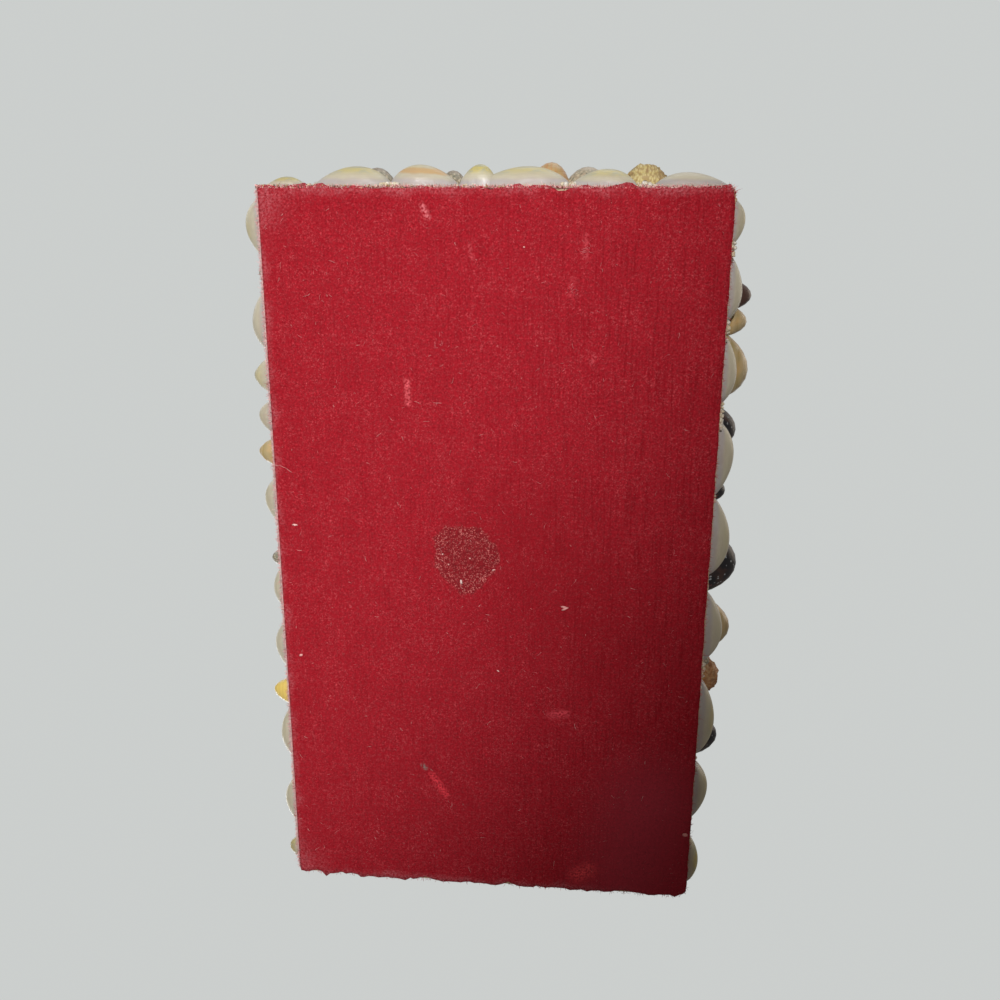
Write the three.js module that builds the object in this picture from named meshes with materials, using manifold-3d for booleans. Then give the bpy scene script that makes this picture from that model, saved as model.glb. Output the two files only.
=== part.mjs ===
// A souvenir box covered in sea shells, in millimetres, standing on its felt with its lid on.
// +Z is up, X runs across the box, Y along it, and the origin is under its middle.
import * as THREE from "three";
import { mergeVertices } from "three/addons/utils/BufferGeometryUtils.js";
import Module from "manifold-3d";

const wasm = await Module();
wasm.setup();

// ---------------------------------------------------------------- driving dimensions
const felt = { width: 130, length: 221, thickness: 1, cornerRadius: 1.5 };
const board = { margin: 0.2, thickness: 3 }; // the margin is how far the wood shows past the felt
const wall = { inset: 4.2, thickness: 4, height: 42 };
const lining = { thickness: 1, belowRim: 7 };
const lid = { thickness: 4, lipThickness: 3, lipDepth: 6, lipClearance: 0.5 };
const bed = { thickness: 2 }; // the sandy glue that the shells are set in
const gap = 0.3; // between pieces that only lie against each other
const embed = 1.2; // how deep a shell of the upper rows is sunk in its bed

// One shell of the base row is [middle along its wall, length, height above the bed].
// Each row runs from left to right as its wall is seen from outside.
const baseRows = {
  front: [
    [-51, 19, 7.5],
    [-30.5, 20, 8],
    [-10, 19, 7.5],
    [10.5, 20, 8],
    [31, 19, 7.5],
    [51, 18, 7],
  ],
  right: [
    [-106.2, 8.6, 6.8],
    [-89.5, 18.5, 8.2],
    [-62, 20, 8.2],
    [-46.5, 9, 8.6],
    [-31.5, 18, 8],
    [-9.7, 17, 7.3],
    [18, 16, 8.1],
    [34.2, 10, 8.8],
    [44.8, 10.6, 7.7],
    [58.2, 11, 8.8],
    [74, 19.6, 8.7],
    [99.5, 18, 8.7],
  ],
  back: [
    [-59.2, 11.5, 4.9],
    [-40.1, 21.8, 7.8],
    [-19.5, 19, 8.2],
    [-4.4, 10.6, 8.2],
    [11.2, 20, 7.7],
    [30.4, 18, 7],
    [54.4, 20.2, 6.1],
  ],
  left: [
    [-101.5, 12.6, 5.9],
    [-84.2, 18.4, 6.8],
    [-61.7, 20, 6.9],
    [-34.9, 22.4, 7.9],
    [-11.2, 24, 8.6],
    [18, 22.4, 8.4],
    [49.5, 25.6, 8.1],
    [76.6, 20, 7.5],
    [102, 17, 6.2],
  ],
};
const baseShell = { widthShare: 0.66, mostWidth: 12.4, segments: 9 };

// The upper rows of a side: how far up each row's middle is, its shells' size and how they stand out.
const upperRows = [
  { middle: 25, width: 15, height: 11.6, pitch: 21 },
  { middle: 38.6, width: 12, height: 10, pitch: 21 },
];
const upperShell = { lengthShare: 0.94, segments: 7 };
const lidBorder = { along: 9, across: 5, length: 21, width: 14, height: 8 };
const lidField = { rows: 6, columns: 4, size: 20, height: 7 };
const scallop = { width: 58, length: 52, height: 13, ribs: 9 };

// ---------------------------------------------------------------- derived dimensions
const boardWidth = felt.width + 2 * board.margin;
const boardLength = felt.length + 2 * board.margin;
const boardTop = felt.thickness + board.thickness;
const wallWidth = boardWidth - 2 * wall.inset;
const wallLength = boardLength - 2 * wall.inset;
const rim = boardTop + wall.height;
const insideWidth = wallWidth - 2 * wall.thickness;
const insideLength = wallLength - 2 * wall.thickness;
const lipWidth = insideWidth - 2 * (lining.thickness + lid.lipClearance);
const lipLength = insideLength - 2 * (lining.thickness + lid.lipClearance);
const lidTop = rim + lid.thickness;

// ---------------------------------------------------------------- materials
const look = (color, roughness, metalness = 0) =>
  new THREE.MeshStandardMaterial({ color, roughness, metalness });
const redFelt = look("#9c1c2b", 0.95);
const brownBoard = look("#7a5636", 0.8);
const sandyGlue = look("#d9c49a", 0.85);
const porcelain = look("#e9e4d8", 0.25);
const yellowShell = look("#dfc878", 0.3);
const mixedShells = look("#b9a281", 0.45);

const part = new THREE.Group();

/** Adds one named piece to a group and gives it back. */
function addPiece(name, geometry, material, parent = part) {
  const mesh = new THREE.Mesh(geometry, material);
  mesh.name = name;
  parent.add(mesh);
  return mesh;
}

/** A box of the given sides whose lowest face is at height z, centred on x and y. */
function addBlock(name, [sizeX, sizeY, sizeZ], [x, y, z], material) {
  const geometry = new THREE.BoxGeometry(sizeX, sizeY, sizeZ);
  const mesh = addPiece(name, geometry, material);
  mesh.position.set(x, y, z + sizeZ / 2);
  return mesh;
}

// ---------------------------------------------------------------- solids and joins
/** A closed geometry as a solid that can be joined. */
function toSolid(geometry) {
  const bare = geometry.clone();
  bare.deleteAttribute("normal");
  bare.deleteAttribute("uv");
  const merged = mergeVertices(bare, 1e-4);
  const corners = Array.from(merged.index.array);
  const faces = [];
  for (let i = 0; i < corners.length; i += 3) {
    const [a, b, c] = corners.slice(i, i + 3);
    if (a !== b && b !== c && c !== a) faces.push(a, b, c);
  }
  const vertProperties = new Float32Array(merged.getAttribute("position").array);
  const triVerts = new Uint32Array(faces);
  return new wasm.Manifold(new wasm.Mesh({ numProp: 3, vertProperties, triVerts }));
}

/** Joins closed geometries that touch into one. */
function join(geometries) {
  const joined = geometries.map(toSolid).reduce((whole, next) => whole.add(next));
  const { vertProperties, triVerts } = joined.getMesh();
  const geometry = new THREE.BufferGeometry();
  geometry.setAttribute("position", new THREE.BufferAttribute(vertProperties, 3));
  geometry.setIndex(new THREE.BufferAttribute(triVerts, 1));
  return geometry;
}

// ---------------------------------------------------------------- shell shapes
// Every shell lies on its flat mouth: its length is along X, its width along Y and it rises along Z.

/** Turns a profile of [radius, height] shares round the upright axis, from the mouth to the top. */
function turned(profile, segments) {
  const points = profile.map(([radius, height]) => new THREE.Vector2(radius, height));
  return new THREE.LatheGeometry(points, segments).rotateX(Math.PI / 2);
}

/** Moves each corner of a geometry by a function of its place. */
function reshape(geometry, move) {
  const position = geometry.getAttribute("position");
  const corner = new THREE.Vector3();
  for (let i = 0; i < position.count; i++) {
    move(corner.fromBufferAttribute(position, i));
    position.setXYZ(i, corner.x, corner.y, corner.z);
  }
  return geometry;
}

/** A cowrie: an egg outline with a thin flared rim under a humped back. */
function cowrie(length, width, height, segments) {
  const profile = [
    [0, 0],
    [0.94, 0],
    [1, 0.16],
    [0.74, 0.66],
    [0.38, 0.94],
    [0, 1],
  ];
  const narrowing = 0.14; // how much narrower one end is than the other
  return reshape(turned(profile, segments), (corner) => {
    corner.y *= (1 - narrowing * corner.x) * (width / 2) * (1 - narrowing);
    corner.x *= length / 2;
    corner.z *= height;
  });
}

/** A top shell: a blunt cone of three stepped whorls. */
function topShell(length, width, height, segments) {
  const profile = [
    [0, 0],
    [0.92, 0],
    [1, 0.28],
    [0.62, 0.55],
    [0.56, 0.72],
    [0, 1],
  ];
  return turned(profile, segments).scale(length / 2, width / 2, height);
}

/** A nerite or moon snail: a low round body with its spire to one side. */
function moonShell(length, width, height, segments) {
  const profile = [
    [0, 0],
    [0.86, 0],
    [1, 0.34],
    [0.66, 0.84],
    [0, 1],
  ];
  const lean = 0.24; // how far the top leans towards one end
  return reshape(turned(profile, segments), (corner) => {
    corner.x = (corner.x * (1 - lean * corner.z) + lean * corner.z) * (length / 2);
    corner.y *= width / 2;
    corner.z *= height;
  });
}

/** A scallop: a fan with a scalloped edge that is highest near its beak. */
function scallopShell({ width, length, height, ribs }) {
  const profile = [
    [0, 0],
    [1, 0],
    [0.98, 0.12],
    [0.62, 0.72],
    [0.3, 0.96],
    [0, 1],
  ];
  const edgeWave = 0.035;
  const beakShift = 0.32; // how far the highest point lies towards the beak
  return reshape(turned(profile, 4 * ribs), (corner) => {
    const angle = Math.atan2(corner.y, corner.x);
    const wave = 1 + edgeWave * Math.cos(2 * ribs * angle);
    const rise = corner.z;
    corner.x *= wave * (width / 2);
    corner.y = (corner.y * wave - beakShift * rise) * (length / 2);
    corner.z *= height;
  });
}

const upperKinds = [moonShell, cowrie, topShell];

// ---------------------------------------------------------------- the carcass
/** The felt under the box, with its corners rounded. */
function addBaseFelt() {
  const halfX = felt.width / 2;
  const halfY = felt.length / 2;
  const radius = felt.cornerRadius;
  const outline = new THREE.Shape();
  outline.moveTo(-halfX + radius, -halfY);
  outline.absarc(halfX - radius, -halfY + radius, radius, -Math.PI / 2, 0);
  outline.absarc(halfX - radius, halfY - radius, radius, 0, Math.PI / 2);
  outline.absarc(-halfX + radius, halfY - radius, radius, Math.PI / 2, Math.PI);
  outline.absarc(-halfX + radius, -halfY + radius, radius, Math.PI, 1.5 * Math.PI);
  const options = { depth: felt.thickness, bevelEnabled: false, curveSegments: 4 };
  addPiece("base_felt", new THREE.ExtrudeGeometry(outline, options), redFelt);
}

/** The bottom board and the four walls: the long walls run the whole length. */
function addCarcass() {
  const baseSize = [boardWidth, boardLength, board.thickness];
  addBlock("bottom_board", baseSize, [0, 0, felt.thickness], brownBoard);
  const longWall = [wall.thickness, wallLength, wall.height];
  const shortWall = [insideWidth, wall.thickness, wall.height];
  const sideX = (wallWidth - wall.thickness) / 2;
  const endY = (wallLength - wall.thickness) / 2;
  addBlock("left_wall", longWall, [-sideX, 0, boardTop], brownBoard);
  addBlock("right_wall", longWall, [sideX, 0, boardTop], brownBoard);
  addBlock("front_wall", shortWall, [0, -endY, boardTop], brownBoard);
  addBlock("back_wall", shortWall, [0, endY, boardTop], brownBoard);
}

/** The felt on the floor and on the inner faces of the walls. */
function addLining() {
  const thickness = lining.thickness;
  addBlock("floor_lining", [insideWidth, insideLength, thickness], [0, 0, boardTop], redFelt);
  const height = wall.height - thickness - lining.belowRim;
  const foot = boardTop + thickness;
  const sideX = (insideWidth - thickness) / 2;
  const endY = (insideLength - thickness) / 2;
  const longPiece = [thickness, insideLength, height];
  const shortPiece = [insideWidth - 2 * thickness, thickness, height];
  addBlock("left_lining", longPiece, [-sideX, 0, foot], redFelt);
  addBlock("right_lining", longPiece, [sideX, 0, foot], redFelt);
  addBlock("front_lining", shortPiece, [0, -endY, foot], redFelt);
  addBlock("back_lining", shortPiece, [0, endY, foot], redFelt);
}

/** The lid board, which rests on the walls, with the strips that keep it in place and its felt. */
function addLid() {
  addBlock("lid_board", [boardWidth, boardLength, lid.thickness], [0, 0, rim], brownBoard);
  const foot = rim - lid.lipDepth;
  const sideX = (lipWidth - lid.lipThickness) / 2;
  const endY = (lipLength - lid.lipThickness) / 2;
  const longStrip = [lid.lipThickness, lipLength, lid.lipDepth];
  const shortStrip = [lipWidth - 2 * lid.lipThickness, lid.lipThickness, lid.lipDepth];
  addBlock("lid_left_strip", longStrip, [-sideX, 0, foot], brownBoard);
  addBlock("lid_right_strip", longStrip, [sideX, 0, foot], brownBoard);
  addBlock("lid_front_strip", shortStrip, [0, -endY, foot], brownBoard);
  addBlock("lid_back_strip", shortStrip, [0, endY, foot], brownBoard);
  const liningSize = [
    lipWidth - 2 * lid.lipThickness,
    lipLength - 2 * lid.lipThickness,
    lining.thickness,
  ];
  addBlock("lid_lining", liningSize, [0, 0, rim - lining.thickness], redFelt);
}

// ---------------------------------------------------------------- the shells on the sides
// A side is built lying down, with X along its wall, Y up the wall and Z away from it.
const sides = {
  front: { turn: 0, length: wallWidth, wallFace: wallLength / 2 },
  right: { turn: Math.PI / 2, length: wallLength + 2 * bed.thickness, wallFace: wallWidth / 2 },
  back: { turn: Math.PI, length: wallWidth, wallFace: wallLength / 2 },
  left: { turn: -Math.PI / 2, length: wallLength + 2 * bed.thickness, wallFace: wallWidth / 2 },
};

/** Stands a side up and turns it to its wall. */
function sideGroup({ turn }) {
  const turnedGroup = new THREE.Group();
  turnedGroup.rotation.z = turn;
  const uprightGroup = new THREE.Group();
  uprightGroup.rotation.x = Math.PI / 2;
  turnedGroup.add(uprightGroup);
  part.add(turnedGroup);
  return uprightGroup;
}

/** The base row: each shell lies on the board's ledge with its mouth to the bed. */
function addBaseRow(name, side, parent) {
  baseRows[name].forEach(([middle, length, height], index) => {
    const width = Math.min(length * baseShell.widthShare, baseShell.mostWidth);
    const material = index % 3 === 1 ? yellowShell : porcelain;
    const geometry = cowrie(length, width, height, baseShell.segments);
    const shell = addPiece(`${name}_base_shell_${index + 1}`, geometry, material, parent);
    const outward = side.wallFace + bed.thickness + gap;
    shell.position.set(middle, boardTop + gap + width / 2, outward);
  });
}

/** The bed on one wall with the upper rows of shells sunk in it. */
function addShellBed(name, side, parent) {
  const { length, wallFace } = side;
  const slab = new THREE.BoxGeometry(length, wall.height, bed.thickness);
  slab.translate(0, boardTop + wall.height / 2, wallFace + bed.thickness / 2);
  const pieces = [slab];
  upperRows.forEach(({ middle, width, height, pitch }, row) => {
    const count = Math.round(length / pitch) - row;
    const step = length / Math.round(length / pitch);
    for (let i = 0; i < count; i++) {
      const kind = upperKinds[(i + row) % upperKinds.length];
      const long = step * upperShell.lengthShare;
      const shell = kind(long, width, height + embed, upperShell.segments);
      const outward = wallFace + bed.thickness - embed;
      pieces.push(shell.translate((i - (count - 1) / 2) * step, middle, outward));
    }
  });
  addPiece(`${name}_shell_bed`, join(pieces), mixedShells, parent);
}

// ---------------------------------------------------------------- the shells on the lid
/** The lid's bed with a border of cowries and a field of small shells, open in the middle. */
function addLidShells() {
  const slab = new THREE.BoxGeometry(boardWidth - 2, boardLength - 2, bed.thickness);
  slab.translate(0, 0, lidTop + bed.thickness / 2);
  const pieces = [slab];
  const foot = lidTop + bed.thickness - embed;
  const { along, across, length, width, height } = lidBorder;
  const borderShell = () => cowrie(length, width, height + embed, upperShell.segments);
  const borderX = boardWidth / 2 - 1.5 - width / 2;
  const borderY = boardLength / 2 - 1.5 - width / 2;
  const alongStep = (boardLength - 2 * width) / along;
  const acrossStep = (boardWidth - 2 * width) / across;
  for (const sign of [-1, 1]) {
    for (let i = 0; i < along; i++) {
      const y = (i - (along - 1) / 2) * alongStep;
      pieces.push(borderShell().rotateZ(Math.PI / 2).translate(sign * borderX, y, foot));
    }
    for (let i = 0; i < across; i++) {
      const x = (i - (across - 1) / 2) * acrossStep;
      pieces.push(borderShell().translate(x, sign * borderY, foot));
    }
  }
  const fieldWidth = 2 * borderX - width;
  const fieldLength = 2 * borderY - width;
  for (let row = 0; row < lidField.rows; row++) {
    for (let column = 0; column < lidField.columns; column++) {
      const x = ((column + 0.5) / lidField.columns - 0.5) * fieldWidth;
      const y = ((row + 0.5) / lidField.rows - 0.5) * fieldLength;
      const underScallop = Math.hypot(x / scallop.width, y / scallop.length) < 0.72;
      if (underScallop) continue;
      const kind = upperKinds[(row + 2 * column) % upperKinds.length];
      const { size } = lidField;
      const shell = kind(size, size, lidField.height + embed, upperShell.segments);
      pieces.push(shell.translate(x, y, foot));
    }
  }
  addPiece("lid_shell_bed", join(pieces), mixedShells);
  const centre = addPiece("lid_scallop", scallopShell(scallop), porcelain);
  centre.position.z = lidTop + bed.thickness + gap;
}

addBaseFelt();
addCarcass();
addLining();
addLid();
for (const [name, side] of Object.entries(sides)) {
  const parent = sideGroup(side);
  addBaseRow(name, side, parent);
  addShellBed(name, side, parent);
}
addLidShells();

export default part;
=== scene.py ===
"""The looks of a souvenir box covered in sea shells, on red felt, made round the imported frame."""

import logging
import math
import random
from contextlib import contextmanager
from dataclasses import dataclass, field
from enum import Enum
from itertools import product
from typing import Any, Callable, Iterator, Sequence

import bmesh
import bpy
import numpy as np
from mathutils import Matrix, Vector


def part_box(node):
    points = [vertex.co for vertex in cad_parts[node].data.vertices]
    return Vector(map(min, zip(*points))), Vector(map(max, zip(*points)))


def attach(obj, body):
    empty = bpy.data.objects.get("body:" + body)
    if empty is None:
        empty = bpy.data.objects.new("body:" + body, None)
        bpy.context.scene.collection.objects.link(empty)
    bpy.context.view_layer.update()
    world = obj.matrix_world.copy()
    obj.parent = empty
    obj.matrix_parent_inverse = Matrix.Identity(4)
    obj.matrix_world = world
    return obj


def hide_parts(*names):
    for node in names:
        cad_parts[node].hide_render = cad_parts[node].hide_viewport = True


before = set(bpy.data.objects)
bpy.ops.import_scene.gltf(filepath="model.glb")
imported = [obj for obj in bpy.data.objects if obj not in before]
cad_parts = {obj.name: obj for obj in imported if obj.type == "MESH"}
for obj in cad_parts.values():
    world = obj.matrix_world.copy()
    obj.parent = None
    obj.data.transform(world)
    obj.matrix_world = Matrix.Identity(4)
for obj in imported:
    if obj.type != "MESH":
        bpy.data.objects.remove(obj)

LOG = logging.getLogger("shell_box")
MM = 0.001
BODY = "root"
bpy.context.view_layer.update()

Colour = tuple[float, float, float]
Piece = bpy.types.Object
Material = bpy.types.Material
Socket = bpy.types.NodeSocket


def box_size(node: str) -> Vector:
    """The sides of a frame node's box, in metres."""
    low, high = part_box(node)
    return high - low


def box_middle(node: str) -> Vector:
    """The middle of a frame node's box, in metres."""
    low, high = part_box(node)
    return (low + high) / 2


# ----- The workbench -----


class Bench:
    """The workbench: a piece is put on it, shaped in edit mode and finished with modifiers."""

    @staticmethod
    def clear() -> None:
        """Deselects every object, so that an operator acts only on what is chosen next."""
        bpy.ops.object.select_all(action="DESELECT")

    @staticmethod
    def take(piece: Piece) -> None:
        """Makes one piece the only one selected, and the active one.

        Args:
            piece: The piece.
        """
        Bench.clear()
        piece.select_set(True)
        bpy.context.view_layer.objects.active = piece

    @staticmethod
    def settle(piece: Piece, name: str) -> Piece:
        """Names a new primitive and moves its place into its mesh.

        Args:
            piece: The primitive.
            name: The name for it and its mesh.

        Returns:
            The same piece.
        """
        Bench.take(piece)
        bpy.ops.object.transform_apply(location=True, rotation=True, scale=True)
        piece.name = name
        piece.data.name = name
        return piece

    @staticmethod
    def grid(
        name: str, sides: Sequence[float], cell: float, middle: Sequence[float],
        turn: Sequence[float] = (0.0, 0.0, 0.0), trim: float = 0.0
    ) -> Piece:
        """Adds a flat grid.

        Args:
            name: The name for it.
            sides: Its width and its length, in metres.
            cell: The width of one of its squares, in metres.
            middle: The place of its middle.
            turn: Its turn about the three axes, in radians.
            trim: How much it is narrower and shorter than its sides, in metres.

        Returns:
            The grid, with its place in its mesh.
        """
        bpy.ops.mesh.primitive_grid_add(
            x_subdivisions=max(2, round(sides[0] / cell)),
            y_subdivisions=max(2, round(sides[1] / cell)),
            size=1.0,
            location=middle,
            rotation=turn,
        )
        piece = bpy.context.object
        piece.scale = (sides[0] - trim, sides[1] - trim, 1.0)
        return Bench.settle(piece, name)

    @staticmethod
    @contextmanager
    def shaping(piece: Piece) -> Iterator[None]:
        """Edit mode on one piece, with nothing selected in it at the start.

        Args:
            piece: The piece to shape.

        Returns:
            A context that goes back to object mode at its end.
        """
        Bench.take(piece)
        bpy.ops.object.mode_set(mode="EDIT")
        bpy.context.tool_settings.mesh_select_mode = (True, False, False)
        bpy.ops.mesh.select_all(action="DESELECT")
        yield
        bpy.ops.object.mode_set(mode="OBJECT")

    @staticmethod
    def pick(piece: Piece, test: Callable[[Vector], bool]) -> None:
        """Selects the vertices of a piece in edit mode whose places pass a test.

        Args:
            piece: The piece that is in edit mode.
            test: Says of a vertex's place whether it is picked.
        """
        shape = bmesh.from_edit_mesh(piece.data)
        for vertex in shape.verts:
            vertex.select = test(vertex.co)
        shape.select_mode = {"VERT"}
        shape.select_flush_mode()
        bmesh.update_edit_mesh(piece.data)

    @staticmethod
    def round_corners(piece: Piece, back: float, front: float, solid: bool) -> None:
        """Cuts the four upright corners of a centred flat piece round, each with a row of tangent cuts.

        Args:
            piece: The piece, as wide and long as its mesh says.
            back: The radius of the two corners at +Y, in metres.
            front: The radius of the two corners at -Y, in metres.
            solid: Whether the piece has a thickness, so that each cut is filled.
        """
        half = Vector([max(vertex.co[axis] for vertex in piece.data.vertices) for axis in (0, 1)])
        with Bench.shaping(piece):
            for sign_x, sign_y, angle in product((-1, 1), (-1, 1), (15, 30, 45, 60, 75)):
                radius = back if sign_y > 0 else front
                middle = Vector(((half.x - radius) * sign_x, (half.y - radius) * sign_y, 0))
                turn = math.radians(angle)
                out = Vector((math.cos(turn) * sign_x, math.sin(turn) * sign_y, 0))
                edge = middle + out * radius
                bpy.ops.mesh.select_all(action="SELECT")
                bpy.ops.mesh.bisect(plane_co=edge, plane_no=out, use_fill=solid, clear_outer=True)

    @staticmethod
    def close(piece: Piece) -> None:
        """Merges a piece's doubles and turns all its faces outwards.

        Args:
            piece: The piece to close.
        """
        with Bench.shaping(piece):
            bpy.ops.mesh.select_all(action="SELECT")
            bpy.ops.mesh.remove_doubles(threshold=1e-6)
            bpy.ops.mesh.normals_make_consistent(inside=False)

    @staticmethod
    def modify(piece: Piece, kind: str, **settings: Any) -> None:
        """Adds a modifier and applies it.

        Args:
            piece: The piece that is modified.
            kind: The modifier's type.
            settings: The modifier's properties.
        """
        Bench.take(piece)
        modifier = piece.modifiers.new(kind.title(), kind)
        for name, value in settings.items():
            setattr(modifier, name, value)
        bpy.ops.object.modifier_apply(modifier=modifier.name)

    @staticmethod
    def smooth(piece: Piece) -> None:
        """Shades a piece smooth all over."""
        Bench.take(piece)
        bpy.ops.object.shade_smooth()


def clouds(name: str, size: float, depth: int = 2) -> bpy.types.Texture:
    """Makes a soft cloud texture for a Displace modifier.

    Args:
        name: The texture's name.
        size: The size of its clouds, in metres.
        depth: How many finer layers it has.

    Returns:
        The texture.
    """
    texture = bpy.data.textures.new(name, "CLOUDS")
    texture.noise_scale = size
    texture.noise_depth = depth
    return texture


# ----- Moulds and clusters: a shape is modelled once and laid many times in one mesh -----


@dataclass(frozen=True)
class Mould:
    """The faces of one modelled shape, ready to be copied.

    Its length runs along X from -1 to 1, its width along Y from -1 to 1, and it rises along Z from 0 to 1.
    """

    points: np.ndarray
    corners: np.ndarray
    counts: np.ndarray
    growth: np.ndarray

    @classmethod
    def of(cls, piece: Piece, fit: bool = True, hinge: float | None = None) -> "Mould":
        """Takes the faces of a modelled piece, and the piece off the scene.

        Args:
            piece: The modelled shape.
            fit: Whether it is scaled to the mould's own box.
            hinge: For a valve, how far along Y its hinge is. Its growth is then the turn from lip to beak and
                the turn from the middle rib, and for any other shape its height and its place along X.

        Returns:
            The mould.
        """
        Bench.close(piece)
        mesh = piece.data
        points = np.empty(len(mesh.vertices) * 3)
        mesh.vertices.foreach_get("co", points)
        points = points.reshape(-1, 3)
        growth = np.column_stack((points[:, 2], points[:, 0], points[:, 1]))
        if hinge is not None:
            reach = np.hypot(hinge - points[:, 1], points[:, 2])
            around = np.arctan2(points[:, 2], hinge - points[:, 1])
            growth = np.column_stack((around, np.arctan2(points[:, 0], reach), reach))
        if fit:
            low, high = points.min(0), points.max(0)
            points = (points - low) / (high - low)
            points[:, :2] = points[:, :2] * 2 - 1
        corners = np.empty(len(mesh.loops), dtype=np.int32)
        mesh.loops.foreach_get("vertex_index", corners)
        counts = np.empty(len(mesh.polygons), dtype=np.int32)
        mesh.polygons.foreach_get("loop_total", counts)
        bpy.data.objects.remove(piece)
        bpy.data.meshes.remove(mesh)
        return cls(points, corners, counts, growth)


@dataclass
class Cluster:
    """Copies of moulds gathered in one mesh, each with its own finish, own coordinates and own tint.

    The own coordinates are those of the mould, so that a pattern follows each copy, and the tint is three
    numbers from 0 to 1 that a finish reads to make each copy differ.
    """

    name: str
    copies: list[tuple[Mould, np.ndarray, Sequence[float], int]] = field(default_factory=list)
    finishes: list[Material] = field(default_factory=list)

    def lay(self, mould: Mould, place: Matrix, finish: Material, tint: Sequence[float]) -> None:
        """Lays one copy of a mould.

        Args:
            mould: The shape.
            place: Carries the mould's own coordinates to the row frame, with no mirroring.
            finish: The copy's material.
            tint: Three numbers from 0 to 1.
        """
        if finish not in self.finishes:
            self.finishes.append(finish)
        matrix = np.array(place)
        points = mould.points @ matrix[:3, :3].T + matrix[:3, 3]
        self.copies.append((mould, points, tint, self.finishes.index(finish)))

    def make(self) -> Piece:
        """Makes the piece, shaded smooth.

        Returns:
            The piece.
        """
        moulds, points, tints, numbers = zip(*self.copies)
        starts = np.cumsum([0, *map(len, points)])
        counts = np.concatenate([mould.counts for mould in moulds])
        corners = np.concatenate([mould.corners + start for mould, start in zip(moulds, starts)])
        finish_numbers = np.repeat(numbers, [len(mould.counts) for mould in moulds])
        layers = {
            "own_place": np.concatenate([mould.points for mould in moulds]),
            "own_tint": np.repeat(np.array(tints, dtype=float), [*map(len, points)], axis=0),
            "own_growth": np.concatenate([mould.growth for mould in moulds]),
        }
        mesh = bpy.data.meshes.new(self.name)
        mesh.vertices.add(starts[-1])
        mesh.vertices.foreach_set("co", np.concatenate(points).ravel())
        mesh.loops.add(len(corners))
        mesh.loops.foreach_set("vertex_index", corners.astype(np.int32))
        mesh.polygons.add(len(counts))
        mesh.polygons.foreach_set("loop_start", np.concatenate(([0], np.cumsum(counts)[:-1])))
        mesh.polygons.foreach_set("loop_total", counts)
        mesh.polygons.foreach_set("material_index", finish_numbers.astype(np.int32))
        mesh.polygons.foreach_set("use_smooth", np.ones(len(counts), dtype=bool))
        for name, rows in layers.items():
            layer = mesh.attributes.new(name, "FLOAT_VECTOR", "POINT")
            layer.data.foreach_set("vector", rows.ravel())
        mesh.update(calc_edges=True)
        for finish in self.finishes:
            mesh.materials.append(finish)
        piece = bpy.data.objects.new(self.name, mesh)
        bpy.context.scene.collection.objects.link(piece)
        return piece


# ----- Finishes -----


class Number:
    """A number that varies over a surface: Python's operators on it add the Math nodes of a finish."""

    def __init__(self, recipe: "Recipe", socket: Socket) -> None:
        """Wraps one socket of a recipe."""
        self.recipe = recipe
        self.socket = socket

    def _math(self, operation: str, *values: "Number | float") -> "Number":
        """One Math node on these values."""
        node = self.recipe.node("ShaderNodeMath", {"operation": operation}, dict(enumerate(values)))
        return Number(self.recipe, node.outputs[0])

    def __add__(self, other: "Number | float") -> "Number":
        """This number plus another."""
        return self._math("ADD", self, other)

    def __radd__(self, other: float) -> "Number":
        """A plain number plus this one."""
        return self._math("ADD", other, self)

    def __sub__(self, other: "Number | float") -> "Number":
        """This number less another."""
        return self._math("SUBTRACT", self, other)

    def __rsub__(self, other: float) -> "Number":
        """A plain number less this one."""
        return self._math("SUBTRACT", other, self)

    def __mul__(self, other: "Number | float") -> "Number":
        """This number times another."""
        return self._math("MULTIPLY", self, other)

    def __rmul__(self, other: float) -> "Number":
        """A plain number times this one."""
        return self._math("MULTIPLY", other, self)

    def __pow__(self, other: float) -> "Number":
        """This number to a power."""
        return self._math("POWER", self, other)

    def size(self) -> "Number":
        """This number without its sign."""
        return self._math("ABSOLUTE", self)

    def sine(self) -> "Number":
        """The sine of this number."""
        return self._math("SINE", self)

    def least(self, other: "Number | float") -> "Number":
        """The smaller of this number and another."""
        return self._math("MINIMUM", self, other)

    def most(self, other: "Number | float") -> "Number":
        """The larger of this number and another."""
        return self._math("MAXIMUM", self, other)

    def rise(self, low: float, high: float) -> "Number":
        """A smooth step over this number.

        Args:
            low: Where the step is 0.
            high: Where the step is 1. If it is the smaller of the two, the step falls.

        Returns:
            The step, from 0 to 1.
        """
        settings = {"interpolation_type": "SMOOTHSTEP", "clamp": True}
        inputs = {"Value": self, "From Min": low, "From Max": high, "To Min": 0.0, "To Max": 1.0}
        return Number(self.recipe, self.recipe.node("ShaderNodeMapRange", settings, inputs).outputs["Result"])


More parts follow.
